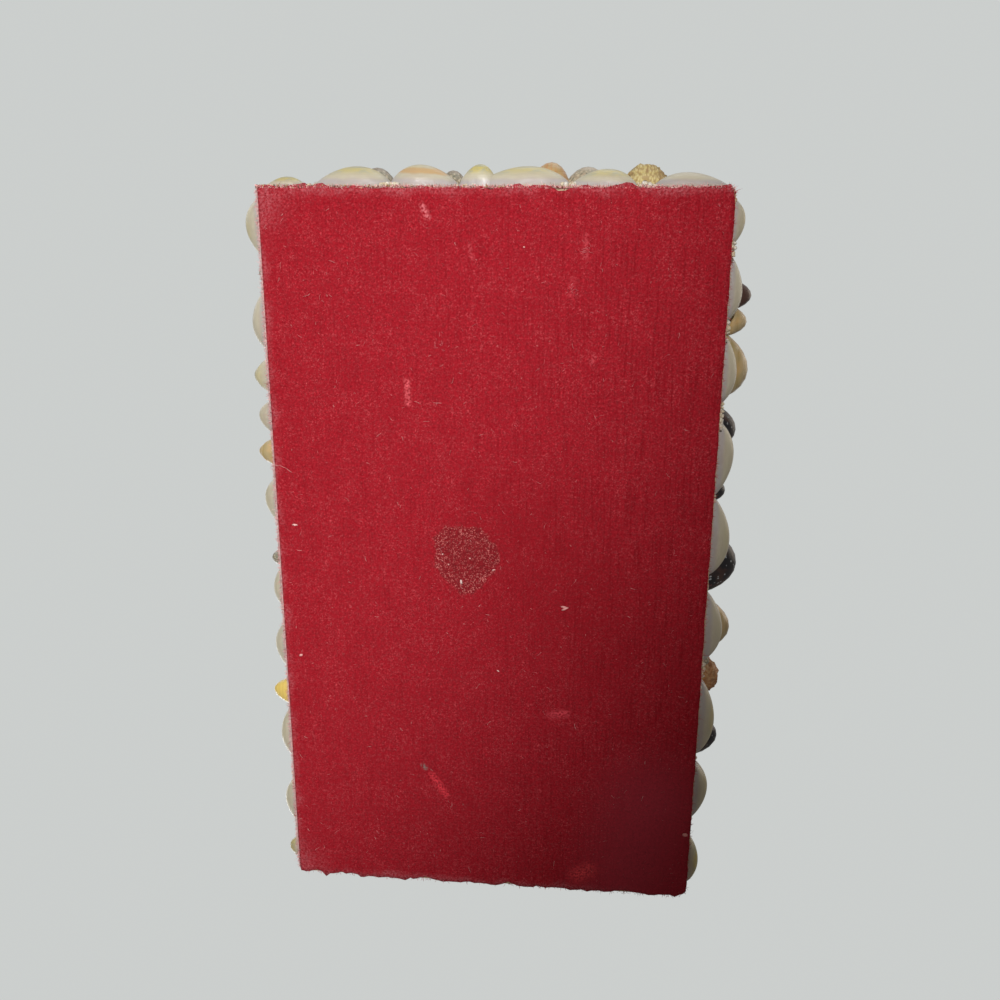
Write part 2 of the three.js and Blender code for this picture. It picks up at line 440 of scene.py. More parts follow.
class Recipe:
    """The nodes of one finish, from the coordinates to the shader."""

    def __init__(self, name: str, fixed: dict[str, Any]) -> None:
        """Starts a material.

        Args:
            name: The material's name.
            fixed: The shader's sockets that are the same all over, by name.
        """
        self.material = bpy.data.materials.new(name)
        self.material.use_nodes = True
        self.tree = self.material.node_tree
        self.tree.nodes.clear()
        self.shader = self.node("ShaderNodeBsdfPrincipled", {}, fixed)
        self.output = self.node("ShaderNodeOutputMaterial", {}, {"Surface": self.shader.outputs[0]})

    def node(self, kind: str, settings: dict[str, Any], inputs: dict[str | int, Any]) -> bpy.types.Node:
        """Adds any node.

        Args:
            kind: The node's type.
            settings: Its properties, which are set first.
            inputs: The values or links of its sockets, by name or number.

        Returns:
            The node.
        """
        node = self.tree.nodes.new(kind)
        for name, value in settings.items():
            setattr(node, name, value)
        for name, value in inputs.items():
            self._feed(node.inputs[name], value)
        return node

    def _feed(self, target: Socket, value: Any) -> None:
        """Gives a socket its value, or links it.

        Args:
            target: The socket.
            value: A plain value, a number of this recipe or another node's socket.
        """
        source = value.socket if isinstance(value, Number) else value
        if isinstance(source, Socket):
            self.tree.links.new(source, target)
        else:
            target.default_value = source

    def place(self) -> Socket:
        """The surface's place in the row frame, in metres."""
        return self.node("ShaderNodeTexCoord", {}, {}).outputs["Object"]

    def own(self, name: str = "own_place") -> Socket:
        """A vector that each copy in a cluster holds."""
        return self.node("ShaderNodeAttribute", {"attribute_name": name}, {}).outputs["Vector"]

    def parts(self, vector: Socket) -> tuple[Number, Number, Number]:
        """The three numbers of a vector."""
        node = self.node("ShaderNodeSeparateXYZ", {}, {0: vector})
        return tuple(Number(self, output) for output in node.outputs)

    def tints(self) -> tuple[Number, Number, Number]:
        """The three numbers that make each copy in a cluster differ."""
        return self.parts(self.own("own_tint"))

    def stretched(self, vector: Socket, by: Colour) -> Socket:
        """A vector with its three numbers multiplied."""
        return self.node("ShaderNodeVectorMath", {"operation": "MULTIPLY"}, {0: vector, 1: by}).outputs[0]

    def shifted(self, vector: Socket, by: Any) -> Socket:
        """A vector plus another."""
        return self.node("ShaderNodeVectorMath", {"operation": "ADD"}, {0: vector, 1: by}).outputs[0]

    def noise(self, vector: Any, scale: float, detail: float = 3.0, distortion: float = 0.0) -> Number:
        """Soft noise from about 0.25 to 0.75, over a vector."""
        inputs = {"Vector": vector, "Scale": scale, "Detail": detail, "Distortion": distortion}
        return Number(self, self.node("ShaderNodeTexNoise", {}, inputs).outputs[0])

    def cells(self, vector: Any, scale: float) -> Number:
        """The distance to the nearest of many scattered points."""
        node = self.node("ShaderNodeTexVoronoi", {}, {"Vector": vector, "Scale": scale})
        return Number(self, node.outputs["Distance"])

    def mix(self, share: Number | float, first: Any, second: Any) -> Socket:
        """A colour between two others.

        Args:
            share: How much there is of the second, from 0 to 1.
            first: A colour or a socket.
            second: A colour or a socket.

        Returns:
            The mixed colour's socket.
        """
        ends = [(*end, 1.0) if isinstance(end, tuple) else end for end in (first, second)]
        node = self.node("ShaderNodeMix", {"data_type": "RGBA"}, {0: share, 6: ends[0], 7: ends[1]})
        return node.outputs[2]

    def relief(self, height: Number, depth: float) -> Socket:
        """A bump of a given depth, in metres."""
        inputs = {"Height": height, "Distance": depth, "Strength": 1.0}
        return self.node("ShaderNodeBump", {}, inputs).outputs[0]

    def finish(self, colour: Any, roughness: Number | None = None, normal: Any = None) -> Material:
        """Links what varies to the shader.

        Args:
            colour: The base colour's socket.
            roughness: The roughness, if it varies.
            normal: The bumped normal, if there is one.

        Returns:
            The finished material.
        """
        for name, value in {"Base Color": colour, "Roughness": roughness, "Normal": normal}.items():
            if value is not None:
                self._feed(self.shader.inputs[name], value)
        return self.material


@dataclass(frozen=True)
class Streak:
    """A mark in the felt along a line from one point of it to another, in millimetres: most are worn or pale
    lines, and the two broadest are painted shade and painted fill light.
    """

    start: tuple[float, float]
    end: tuple[float, float]
    width: float
    colour: Colour
    strength: float

    def over(self, x: Number, y: Number) -> Number:
        """How much of the streak there is at a place.

        Args:
            x: The place across the felt, in millimetres.
            y: The place along it, in millimetres.

        Returns:
            The streak's share, from 0 to its strength.
        """
        run = (self.end[0] - self.start[0], self.end[1] - self.start[1])
        length = math.hypot(*run)
        along_x, along_y = run[0] / length, run[1] / length
        from_x, from_y = x - self.start[0], y - self.start[1]
        along = (from_x * along_x + from_y * along_y).most(0.0).least(length)
        miss_x, miss_y = from_x - along * along_x, from_y - along * along_y
        distance = (miss_x * miss_x + miss_y * miss_y) ** 0.5
        return distance.rise(self.width, 0.0) * self.strength


@dataclass(frozen=True)
class FlockedFelt:
    """Red flocked felt: a short nap with fine lines along it, mottled, pale where it is rubbed.

    Only the felt under the box has the marks of wear, its painted shade and half a width: its rubbed rim, a
    glue-brown band along one edge that is also painted shadow, the streaks, of which the two broadest are
    painted shade and painted fill light, and the worn patch, whose middle is in millimetres and whose sides
    are directions in degrees with how far off they lie in millimetres.
    """

    name: str
    half_width: float = 0.0
    half_length: float = 0.0
    patch_middle: tuple[float, float] = (7.2, 4.6)
    patch_sides: tuple[tuple[float, float], ...] = (
        (90.0, 9.8), (140.0, 9.6), (190.0, 9.8), (222.0, 9.4),
        (270.0, 12.0), (318.0, 9.2), (0.0, 9.4), (45.0, 11.0),
    )
    streaks: tuple[Streak, ...] = ()
    red: Colour = (0.368, 0.0138, 0.0235)
    deep_red: Colour = (0.232, 0.0053, 0.0105)
    light_red: Colour = (0.595, 0.036, 0.051)
    pink: Colour = (0.92, 0.13, 0.150)
    rubbed: Colour = (0.56, 0.16, 0.18)
    selvage: Colour = (0.84, 0.60, 0.57)
    dust: Colour = (0.90, 0.28, 0.255)
    glue_brown_and_edge_shade: Colour = (0.14, 0.017, 0.019)

    def material(self) -> Material:
        """Makes the felt's material.

        Returns:
            The material.
        """
        fixed = {"Roughness": 1.0, "Sheen Weight": 0.04, "Sheen Roughness": 0.5, "Specular IOR Level": 0.0}
        recipe = Recipe(self.name, {**fixed, "Sheen Tint": (0.9, 0.35, 0.38, 1.0)})
        place = recipe.stretched(recipe.place(), (1000.0, 1000.0, 1000.0))
        tufts = recipe.noise(place, 1.5, 3.0)
        specks = recipe.noise(recipe.shifted(place, (5.0, 9.0, 0.0)), 2.3, 2.0)
        lines = recipe.noise(recipe.stretched(place, (1.0, 0.035, 1.0)), 1.7, 2.0)
        haze = recipe.noise(place, 0.11, 3.0)
        curls = self._curls(recipe, place)
        x, _, _ = recipe.parts(place)
        grain = (tufts + specks) * 0.5
        fuzzy = haze.rise(0.42, 0.6)
        colour = recipe.mix(grain.rise(0.36, 0.5) * 0.7 + 0.3, self.deep_red, self.red)
        colour = recipe.mix(grain.rise(0.52, 0.66) * (fuzzy * 0.12 + 0.66), colour, self.light_red)
        colour = recipe.mix(lines.rise(0.47, 0.7) * (0.3 + x.rise(20.0, -45.0) * 0.25), colour, self.deep_red)
        colour = recipe.mix(curls * (fuzzy * 0.2 + 0.24), colour, self.pink)
        if self.half_width:
            colour = self._wear_and_painted_shade(recipe, place, colour, tufts, curls)
        return recipe.finish(colour, normal=recipe.relief(tufts * 0.7 + curls * 0.3, 0.3 * MM))

    @staticmethod
    def _curls(recipe: Recipe, place: Any) -> Number:
        """Thin curled fibres: where soft noise passes through its middle, broken up by more noise.

        Args:
            recipe: The felt's recipe.
            place: The place on the felt, in millimetres.

        Returns:
            1 on a fibre and 0 off it.
        """
        found = None
        for turn in (0.0, 31.0, 67.0):
            here = recipe.shifted(place, (turn, -turn, 0.0))
            line = (recipe.noise(here, 1.25, 1.0) - 0.5).size().rise(0.034, 0.008)
            layer = line * recipe.noise(here, 0.8, 1.0).rise(0.47, 0.62)
            found = layer if found is None else found.most(layer)
        return found

    def _wear_and_painted_shade(self, recipe: Recipe, place: Any, colour: Any, tufts: Number, curls: Number) -> Any:
        """The wear of the felt under the box, and its painted shade.

        Args:
            recipe: The felt's recipe.
            place: The place on the felt, in millimetres.
            colour: The plain felt's colour.
            tufts: The noise of its nap.
            curls: Its curled fibres.

        Returns:
            The colour with the rubbed rim, the edge band of glue and painted shadow, the streaks, some of
            them painted shade, and the worn patch.
        """
        x, y, _ = recipe.parts(place)
        wander = recipe.noise(place, 0.14, 3.0) * 8.0
        to_side = self.half_width - x + wander
        to_end = self.half_length - y.size() + wander
        corner = (to_side + to_end * 0.6).rise(22.0, 6.0)
        rim = to_side.rise(7.0, 3.2).most(to_end.rise(7.0, 3.4)).most(corner)
        share = (tufts.rise(0.4, 0.62) * 0.4 + curls * 0.4 + 0.08).least(1.0)
        colour = recipe.mix(rim * share, colour, self.rubbed)
        # Painted shadow mixed with glue: a brown band just inside the edge at +X.
        to_edge = self.half_width - x
        colour = recipe.mix(to_edge.rise(1.2, 0.6) * tufts.rise(0.6, 0.4) * 0.4, colour, self.glue_brown_and_edge_shade)
        colour = recipe.mix(to_edge.rise(0.5, 0.28) * tufts.rise(0.2, 0.5) * 0.85, colour, self.selvage)
        for streak in self.streaks:
            share = streak.over(x, y)
            share = share * tufts.rise(0.36, 0.6) if streak.width < 10.0 else share
            colour = recipe.mix(share, colour, streak.colour)
        reach = self._patch_reach(recipe, place, x, y)
        inside = reach.rise(0.5, -0.5)
        crust = reach.rise(-4.0, -0.6) * inside
        speckle = recipe.cells(place, 2.5).rise(0.5, 0.22)
        pits = recipe.cells(recipe.shifted(place, (3.0, 7.0, 0.0)), 2.2).rise(0.5, 0.25)
        blotch = recipe.noise(place, 0.22, 2.0).rise(0.46, 0.6)
        colour = recipe.mix(inside * 0.4, colour, self.glue_brown_and_edge_shade)
        colour = recipe.mix(inside * pits * 0.6, colour, self.glue_brown_and_edge_shade)
        spread = (crust * 0.34 + inside * (blotch * 0.3 + 0.4)).least(1.0)
        dusty = speckle * recipe.noise(place, 1.1, 1.0).rise(0.38, 0.55) * spread
        return recipe.mix((dusty * 0.9).least(1.0), colour, self.dust)

    def _patch_reach(self, recipe: Recipe, place: Any, x: Number, y: Number) -> Number:
        """How far a point lies outside the worn patch.

        Args:
            recipe: The felt's recipe.
            place: The place on the felt, in millimetres.
            x: Its first number.
            y: Its second number.

        Returns:
            The distance in millimetres, below 0 inside the patch.
        """
        from_x, from_y = x - self.patch_middle[0], y - self.patch_middle[1]
        reach = None
        for angle, distance in self.patch_sides:
            turn = math.radians(angle)
            away = from_x * math.cos(turn) + from_y * math.sin(turn) - distance
            reach = away if reach is None else reach.most(away)
        return reach + (recipe.noise(place, 0.35, 3.0) - 0.5) * 4.0


@dataclass(frozen=True)
class BareBoard:
    """Thin brown board with a faint straight grain, darker where glue has soaked in."""

    name: str = "brown_board"
    light: Colour = (0.27, 0.15, 0.08)
    dark: Colour = (0.15, 0.08, 0.042)
    stain: Colour = (0.12, 0.065, 0.035)

    def material(self) -> Material:
        """Makes the board's material.

        Returns:
            The material.
        """
        recipe = Recipe(self.name, {"Specular IOR Level": 0.3})
        place = recipe.place()
        grain = recipe.noise(recipe.stretched(place, (1.0, 0.06, 1.0)), 900.0, 4.0, 0.4)
        speck = recipe.noise(place, 2600.0, 2.0)
        soaked = recipe.noise(place, 70.0, 3.0)
        colour = recipe.mix(grain.rise(0.35, 0.65), self.dark, self.light)
        colour = recipe.mix(soaked.rise(0.56, 0.72) * 0.6, colour, self.stain)
        roughness = 0.72 + speck * 0.2
        return recipe.finish(colour, roughness, recipe.relief(grain + speck * 0.4, 0.15 * MM))


@dataclass(frozen=True)
class SandyGlue:
    """Yellowed glue full of sand, in which the shells are set."""

    name: str = "sandy_glue"
    sand: Colour = (0.54, 0.42, 0.25)
    pale: Colour = (0.66, 0.58, 0.42)
    amber: Colour = (0.34, 0.20, 0.08)

    def material(self) -> Material:
        """Makes the glue's material.

        Returns:
            The material.
        """
        recipe = Recipe(self.name, {"Specular IOR Level": 0.4})
        place = recipe.place()
        grains = recipe.cells(place, 1300.0)
        lumps = recipe.noise(place, 420.0, 3.0)
        colour = recipe.mix(grains.rise(0.25, 0.6), self.pale, self.sand)
        colour = recipe.mix(lumps.rise(0.52, 0.7) * 0.7, colour, self.amber)
        roughness = 0.55 + grains * 0.4
        return recipe.finish(colour, roughness, recipe.relief(lumps * 0.6 - grains * 0.5, 0.5 * MM))


@dataclass(frozen=True)
class GritBead:
    """A grain of coarse sand: cream, gold or nearly white, by its own tint."""

    name: str = "grit_beads"
    cream: Colour = (0.66, 0.56, 0.39)
    gold: Colour = (0.52, 0.35, 0.15)
    white: Colour = (0.74, 0.70, 0.62)

    def material(self) -> Material:
        """Makes the grit's material.

        Returns:
            The material.
        """
        recipe = Recipe(self.name, {"Specular IOR Level": 0.5})
        hue, shade, _ = recipe.tints()
        pits = recipe.noise(recipe.place(), 3200.0, 2.0)
        colour = recipe.mix(hue.rise(0.35, 0.95), self.cream, self.gold)
        colour = recipe.mix(shade.rise(0.55, 0.95), colour, self.white)
        colour = recipe.mix(pits.rise(0.5, 0.75) * 0.35, colour, self.gold)
        return recipe.finish(colour, 0.3 + pits * 0.3, recipe.relief(pits, 0.12 * MM))


@dataclass(frozen=True)
class Porcelain:
    """A cowrie's glaze: white with a lilac tinge at its rim, then cream, and a coloured back, with painted
    shade at its rim and, mixed with soil, at its foot by the felt.

    Its own tint says how yellow its back is, how orange, and how far the colour reaches down.
    """

    name: str = "cowrie_glaze"
    rim: Colour = (0.45, 0.385, 0.33)
    lilac: Colour = (0.45, 0.41, 0.395)
    cream: Colour = (0.55, 0.50, 0.375)
    yellow: Colour = (0.56, 0.47, 0.17)
    olive: Colour = (0.40, 0.39, 0.25)
    orange: Colour = (0.56, 0.32, 0.12)
    foot_soil_and_shade: Colour = (0.34, 0.24, 0.19)

    def material(self) -> Material:
        """Makes the cowrie's material.

        Returns:
            The material.
        """
        fixed = {"Specular IOR Level": 0.4, "Sheen Weight": 0.05, "Coat Weight": 0.08, "Coat Roughness": 0.25}
        recipe = Recipe(self.name, fixed)
        place = recipe.own()
        yellowness, orangeness, reach = recipe.tints()
        _, _, height = recipe.parts(place)
        drift = recipe.noise(recipe.shifted(place, recipe.own("own_tint")), 2.4, 2.0) - 0.5
        level = height + drift * 0.16 + (reach - 0.5) * 0.22
        lines = ((level * 62.0 + drift * 3.0).sine() * 0.5 + 0.5) * level.rise(0.3, 0.5)
        # Painted shade in part: the rim colour is darker and browner where the shell meets the glue.
        colour = recipe.mix(level.rise(0.12, 0.32), self.rim, self.lilac)
        colour = recipe.mix(level.rise(0.34, 0.56), colour, self.cream)
        back = recipe.mix(recipe.noise(place, 3.5, 3.0).rise(0.42, 0.66), self.yellow, self.olive)
        colour = recipe.mix(level.rise(0.56, 0.84) * yellowness, colour, back)
        band = level.rise(0.58, 0.68) * level.rise(0.92, 0.78) * orangeness
        colour = recipe.mix(band * 0.8, colour, self.orange)
        colour = recipe.mix(lines * (yellowness * 0.13 + 0.06), colour, self.olive)
        # Painted shade mixed with soil: darker and browner within a few millimetres above the felt.
        _, _, above_felt = recipe.parts(recipe.place())
        foot = above_felt.rise(7.5 * MM, 4.2 * MM) * recipe.noise(place, 5.0, 2.0).rise(0.2, 0.6)
        colour = recipe.mix(foot * 0.5, colour, self.foot_soil_and_shade)
        dull = recipe.noise(place, 6.0, 3.0)
        return recipe.finish(colour, 0.32 + dull * 0.26, recipe.relief(drift + lines * 0.04, 0.3 * MM))


@dataclass(frozen=True)
class ThinValve:
    """A thin clam shell: growth rings of tan and cream round its beak, with a bright lip that is partly a
    painted highlight along its rim.
    """

    name: str = "clam_valve"
    cream: Colour = (0.66, 0.56, 0.38)
    tan: Colour = (0.52, 0.34, 0.14)
    olive: Colour = (0.40, 0.30, 0.13)
    lip: Colour = (0.74, 0.67, 0.52)
    rust: Colour = (0.48, 0.20, 0.07)
    gold: Colour = (0.74, 0.54, 0.14)

    def material(self) -> Material:
        """Makes the valve's material.

        Returns:
            The material.
        """
        fixed = {"Specular IOR Level": 0.4, "Sheen Weight": 0.08, "Coat Weight": 0.08, "Coat Roughness": 0.25}
        recipe = Recipe(self.name, fixed)
        place = recipe.own()
        dark, rusty, golden = recipe.tints()
        around, _, _ = recipe.parts(recipe.own("own_growth"))
        drift = recipe.noise(place, 2.0, 3.0) - 0.5
        rings = (around * 34.0 + drift * 4.0).sine() * 0.5 + 0.5
        colour = recipe.mix(dark, self.cream, recipe.mix(drift.rise(-0.1, 0.15), self.olive, self.tan))
        colour = recipe.mix(rings * 0.18, colour, self.cream)
        rays = recipe.noise(recipe.stretched(recipe.own("own_growth"), (0.7, 9.0, 0.0)), 1.0, 2.0)
        colour = recipe.mix(rusty * rays.rise(0.3, 0.65), colour, self.rust)
        colour = recipe.mix(golden.rise(0.85, 1.0), colour, self.gold)
        # Pale lip, partly a painted highlight along the rim.
        colour = recipe.mix(around.rise(0.17, 0.04) * 0.85, colour, self.lip)
        return recipe.finish(colour, 0.26 + rings * 0.16, recipe.relief(rings, 0.08 * MM))


@dataclass(frozen=True)
class DarkNerite:
    """A nearly black glossy snail with rows of small pale dots."""

    name: str = "dark_nerite"
    black: Colour = (0.013, 0.012, 0.015)
    brown: Colour = (0.075, 0.035, 0.026)
    dot: Colour = (0.55, 0.58, 0.60)

    def material(self) -> Material:
        """Makes the snail's material.

        Returns:
            The material.
        """
        recipe = Recipe(self.name, {"Specular IOR Level": 0.4, "Coat Weight": 0.08, "Coat Roughness": 0.2})
        place = recipe.own()
        dotted, brownness, _ = recipe.tints()
        blur = recipe.noise(place, 3.0, 2.0)
        dots = recipe.cells(recipe.stretched(place, (1.0, 1.25, 1.0)), 6.5).rise(0.26, 0.15)
        colour = recipe.mix(blur.rise(0.45, 0.65) * 0.7 + brownness.rise(0.85, 1.0), self.black, self.brown)
        colour = recipe.mix(dots * dotted * 0.85, colour, self.dot)
        return recipe.finish(colour, 0.3 + blur * 0.25, recipe.relief(blur - dots * 0.15, 0.2 * MM))


@dataclass(frozen=True)
class SpeckledSpiral:
    """A snail with a grey-green or rosy spiral, freckled with dark and pale spots."""

    name: str = "speckled_snail"
    grey: Colour = (0.30, 0.29, 0.22)
    green: Colour = (0.11, 0.12, 0.085)
    cream: Colour = (0.62, 0.54, 0.38)
    rose: Colour = (0.52, 0.29, 0.19)

    def material(self) -> Material:
        """Makes the snail's material.

        Returns:
            The material.
        """
        recipe = Recipe(self.name, {"Specular IOR Level": 0.5, "Coat Weight": 0.2, "Coat Roughness": 0.2})
        place = recipe.own()
        pale, rosy, _ = recipe.tints()
        freckles = recipe.noise(recipe.shifted(place, recipe.own("own_tint")), 9.0, 2.0)
        bands = recipe.noise(recipe.stretched(place, (3.0, 3.0, 9.0)), 1.0, 2.0)
        colour = recipe.mix(pale, self.green, self.cream)
        colour = recipe.mix(rosy * 0.8, colour, self.rose)
        colour = recipe.mix(bands.rise(0.46, 0.6) * 0.6, colour, self.grey)
        colour = recipe.mix(freckles.rise(0.56, 0.64) * 0.7, colour, self.cream)
        colour = recipe.mix(freckles.rise(0.42, 0.34) * 0.7, colour, self.green)
        return recipe.finish(colour, 0.3 + freckles * 0.25, recipe.relief(freckles, 0.2 * MM))


@dataclass(frozen=True)
class RibbedValve:
    """A cockle or scallop: ribs of cream and orange-brown with rough scales across them."""

    name: str = "ribbed_valve"
    cream: Colour = (0.68, 0.57, 0.34)
    orange: Colour = (0.50, 0.22, 0.08)
    brown: Colour = (0.24, 0.10, 0.045)
    yellow: Colour = (0.58, 0.46, 0.17)

    def material(self) -> Material:
        """Makes the ribbed valve's material.

        Returns:
            The material.
        """
        recipe = Recipe(self.name, {"Specular IOR Level": 0.4})
        place = recipe.own()
        orangeness, roughened, golden = recipe.tints()
        growth = recipe.own("own_growth")
        around, _, _ = recipe.parts(growth)
        scales = recipe.cells(recipe.stretched(growth, (9.0, 12.0, 0.0)), 1.0)
        patches = recipe.noise(recipe.stretched(growth, (2.2, 5.0, 1.0)), 1.0, 3.0)
        rings = (around * 30.0 + patches * 6.0).sine() * 0.5 + 0.5
        colour = recipe.mix(orangeness, self.cream, self.orange)
        colour = recipe.mix(golden.rise(0.85, 1.0) * 0.9, colour, self.yellow)
        colour = recipe.mix(patches.rise(0.48, 0.64) * 0.4, colour, self.brown)
        colour = recipe.mix(rings * 0.22, colour, self.cream)
        colour = recipe.mix(scales.rise(0.42, 0.62) * roughened * 0.45, colour, self.brown)
        colour = recipe.mix(scales.rise(0.4, 0.12) * roughened * 0.4, colour, self.cream)
        height = rings * 0.35 - scales * roughened
        return recipe.finish(colour, 0.4 + scales * 0.25, recipe.relief(height, 0.25 * MM))


@dataclass(frozen=True)
class Fibre:
    """Loose fibres: red ones of the felt's own, pale lint, or soiled brown ones, by their own tint."""

    name: str = "felt_fibres"
    red: Colour = (0.46, 0.03, 0.045)
    pink: Colour = (0.86, 0.30, 0.32)
    pale: Colour = (0.94, 0.64, 0.60)
    brown: Colour = (0.22, 0.15, 0.11)

    def material(self) -> Material:
        """Makes the fibres' material.

        Returns:
            The material.
        """
        recipe = Recipe(self.name, {"Roughness": 0.9, "Specular IOR Level": 0.05})
        hue, shade, soiled = recipe.tints()
        colour = recipe.mix(hue.rise(0.2, 0.6), self.red, self.pink)
        colour = recipe.mix(shade.rise(0.5, 0.9), colour, self.pale)
        colour = recipe.mix(soiled.rise(0.9, 0.98), colour, self.brown)
        wear = recipe.noise(recipe.place(), 900.0, 1.0)
        return recipe.finish(recipe.mix(wear.rise(0.45, 0.6) * 0.3, colour, self.red))


@dataclass(frozen=True)
class Flake:
    """White flakes of shell and dry glue."""

    name: str = "white_flakes"
    white: Colour = (0.95, 0.78, 0.74)
    buff: Colour = (0.78, 0.48, 0.44)
    salmon: Colour = (0.90, 0.36, 0.34)

    def material(self) -> Material:
        """Makes the flakes' material.

        Returns:
            The material.
        """
        recipe = Recipe(self.name, {"Roughness": 0.8, "Specular IOR Level": 0.2})
        cloud = recipe.noise(recipe.place(), 1600.0, 3.0)
        reddened, _, _ = recipe.tints()
        pale = recipe.mix(cloud.rise(0.4, 0.7), self.white, self.buff)
        return recipe.finish(recipe.mix(reddened, pale, self.salmon))


class Finish(Enum):
    """Every finish of the shells and of what they are set in."""

    COWRIE = Porcelain()
    CLAM = ThinValve()
    NERITE = DarkNerite()
    SNAIL = SpeckledSpiral()
    RIBBED = RibbedValve()
    GRIT = GritBead()
    GLUE = SandyGlue()
    BOARD = BareBoard()
    FIBRE = Fibre()
    FLAKE = Flake()

    def material(self) -> Material:
        """The finish's material, made the first time it is asked for."""
        return bpy.data.materials.get(self.value.name) or self.value.material()


# ----- The shells, each modelled once -----


@dataclass(frozen=True)
class CowrieModel:
    """A cowrie lying on its mouth: a humped back that runs out into a thick flared rim."""

    name: str
    shares: tuple[float, float] = (0.68, 0.5)
    fullness: float = 0.8
    lean: float = 0.12
    narrowing: float = 0.13
    segments: int = 32
    rings: int = 18
    rim_depth: float = 0.13
    rim_flare: float = 1.05
    refine: int = 1
    beads: float = 0.0

    def mould(self) -> Mould:
        """Models the cowrie.

        Returns:
            The mould.
        """
        bpy.ops.mesh.primitive_uv_sphere_add(
            segments=self.segments, ring_count=self.rings, radius=1.0, rotation=(0.0, math.pi / 2, 0.0)
        )
        piece = Bench.settle(bpy.context.object, self.name)
        with Bench.shaping(piece):
            for ring in range(1, self.rings):
                self._shape_ring(piece, math.cos(math.pi * ring / self.rings))
            bpy.ops.mesh.select_all(action="SELECT")
            bpy.ops.mesh.bisect(plane_co=(0, 0, 0), plane_no=(0, 0, 1), use_fill=True, clear_inner=True)
            Bench.pick(piece, lambda place: place.z < 0.001)
            bpy.ops.transform.resize(value=(self.rim_flare, self.rim_flare, 1.0), center_override=(0, 0, 0))
            bpy.ops.mesh.extrude_region_move(TRANSFORM_OT_translate={"value": (0, 0, -self.rim_depth)})
            bpy.ops.transform.resize(value=(0.93, 0.9, 1.0), center_override=(0, 0, -self.rim_depth))
            Bench.pick(piece, lambda place: 0.04 < place.z < 0.2)
            bpy.ops.transform.resize(value=(0.985, 0.96, 1.0), center_override=(0, 0, 0))
        if self.refine:
            Bench.modify(piece, "SUBSURF", levels=self.refine, render_levels=self.refine)
        if self.beads:
            beads = clouds(f"{self.name}_beads", 0.13, 0)
            Bench.modify(piece, "DISPLACE", texture=beads, strength=self.beads, mid_level=0.5)
        return Mould.of(piece)

    def _shape_ring(self, piece: Piece, x: float) -> None:
        """Gives one ring across the shell its height and width, and leans it to the wider end.

        Args:
            piece: The shell, in edit mode.
            x: The place of the ring along it.
        """
        Bench.pick(piece, lambda place: abs(place.x - x) < 0.004)
        radius = math.sqrt(1.0 - x * x)
        height = (1.0 - x * x) ** self.fullness / radius
        width = (1.0 + self.narrowing * x) * radius ** -0.12
        bpy.ops.transform.resize(value=(1.0, width, height), center_override=(x, 0, 0))
        bpy.ops.transform.translate(value=(self.lean * (1.0 - x * x), 0, 0))


@dataclass(frozen=True)
class ValveModel:
    """One valve of a clam, cockle or scallop: bands of growth that wind in to the beak at its hinge."""

    name: str
    shares: tuple[float, float] = (0.82, 0.36)
    bands: int = 9
    segments: int = 40
    ribs: int = 0
    rib: float = 1.055
    hinge: float = 1.0
    closing: float = 1.15
    sweep: float = 2.85
    lip: float = 0.012
    ears: bool = False

    def mould(self) -> Mould:
        """Models the valve.

        Returns:
            The mould.
        """
        vertices = 4 * self.ribs if self.ribs else self.segments
        bpy.ops.mesh.primitive_circle_add(vertices=vertices, radius=1.0, fill_type="NGON")
        piece = Bench.settle(bpy.context.object, self.name)
        hinge = (0.0, self.hinge, 0.0)
        with Bench.shaping(piece):
            bpy.ops.mesh.select_all(action="SELECT")
            turn = self.sweep / self.bands
            for _ in range(self.bands):
                for share, lip in ((0.22, self.lip), (0.78, -self.lip)):
                    bpy.ops.mesh.extrude_region_move()
                    bpy.ops.transform.rotate(value=turn * share, orient_axis="X", center_override=hinge)
                    size = math.exp(-self.closing * turn * share) * (1.0 + lip)
                    bpy.ops.transform.resize(value=(size, size, size), center_override=hinge)
            if self.ribs:
                self._raise_ribs(piece, vertices)
            if self.ears:
                Bench.pick(piece, lambda place: place.z < 0.05 and place.y > 0.66)
                bpy.ops.transform.resize(value=(1.5, 0.25, 1.0), center_override=(0, 0.9, 0))
            Bench.pick(piece, lambda place: place.z < 0.0)
            bpy.ops.transform.resize(value=(1.0, 1.0, 0.0), center_override=(0, 0, 0))
        return Mould.of(piece, hinge=self.hinge)

    def _raise_ribs(self, piece: Piece, vertices: int) -> None:
        """Lifts every second pair of the lines of points that run from the lip to the beak.

        Args:
            piece: The valve, in edit mode.
            vertices: How many lines of points there are.
        """
        step = 2.0 * math.pi / vertices
        lip = [(math.cos(i * step), self.hinge - math.sin(i * step)) for i in range(vertices)]
        angles = np.array([math.atan2(x, y) for x, y in lip])

        def on_crest(place: Vector) -> bool:
            """Whether a point lies on the crest of a rib."""
            angle = math.atan2(place.x, math.hypot(self.hinge - place.y, place.z))
            return int(np.abs(angles - angle).argmin()) % 4 < 2

        Bench.pick(piece, on_crest)
        bpy.ops.transform.resize(value=(self.rib,) * 3, center_override=(0, self.hinge, 0))


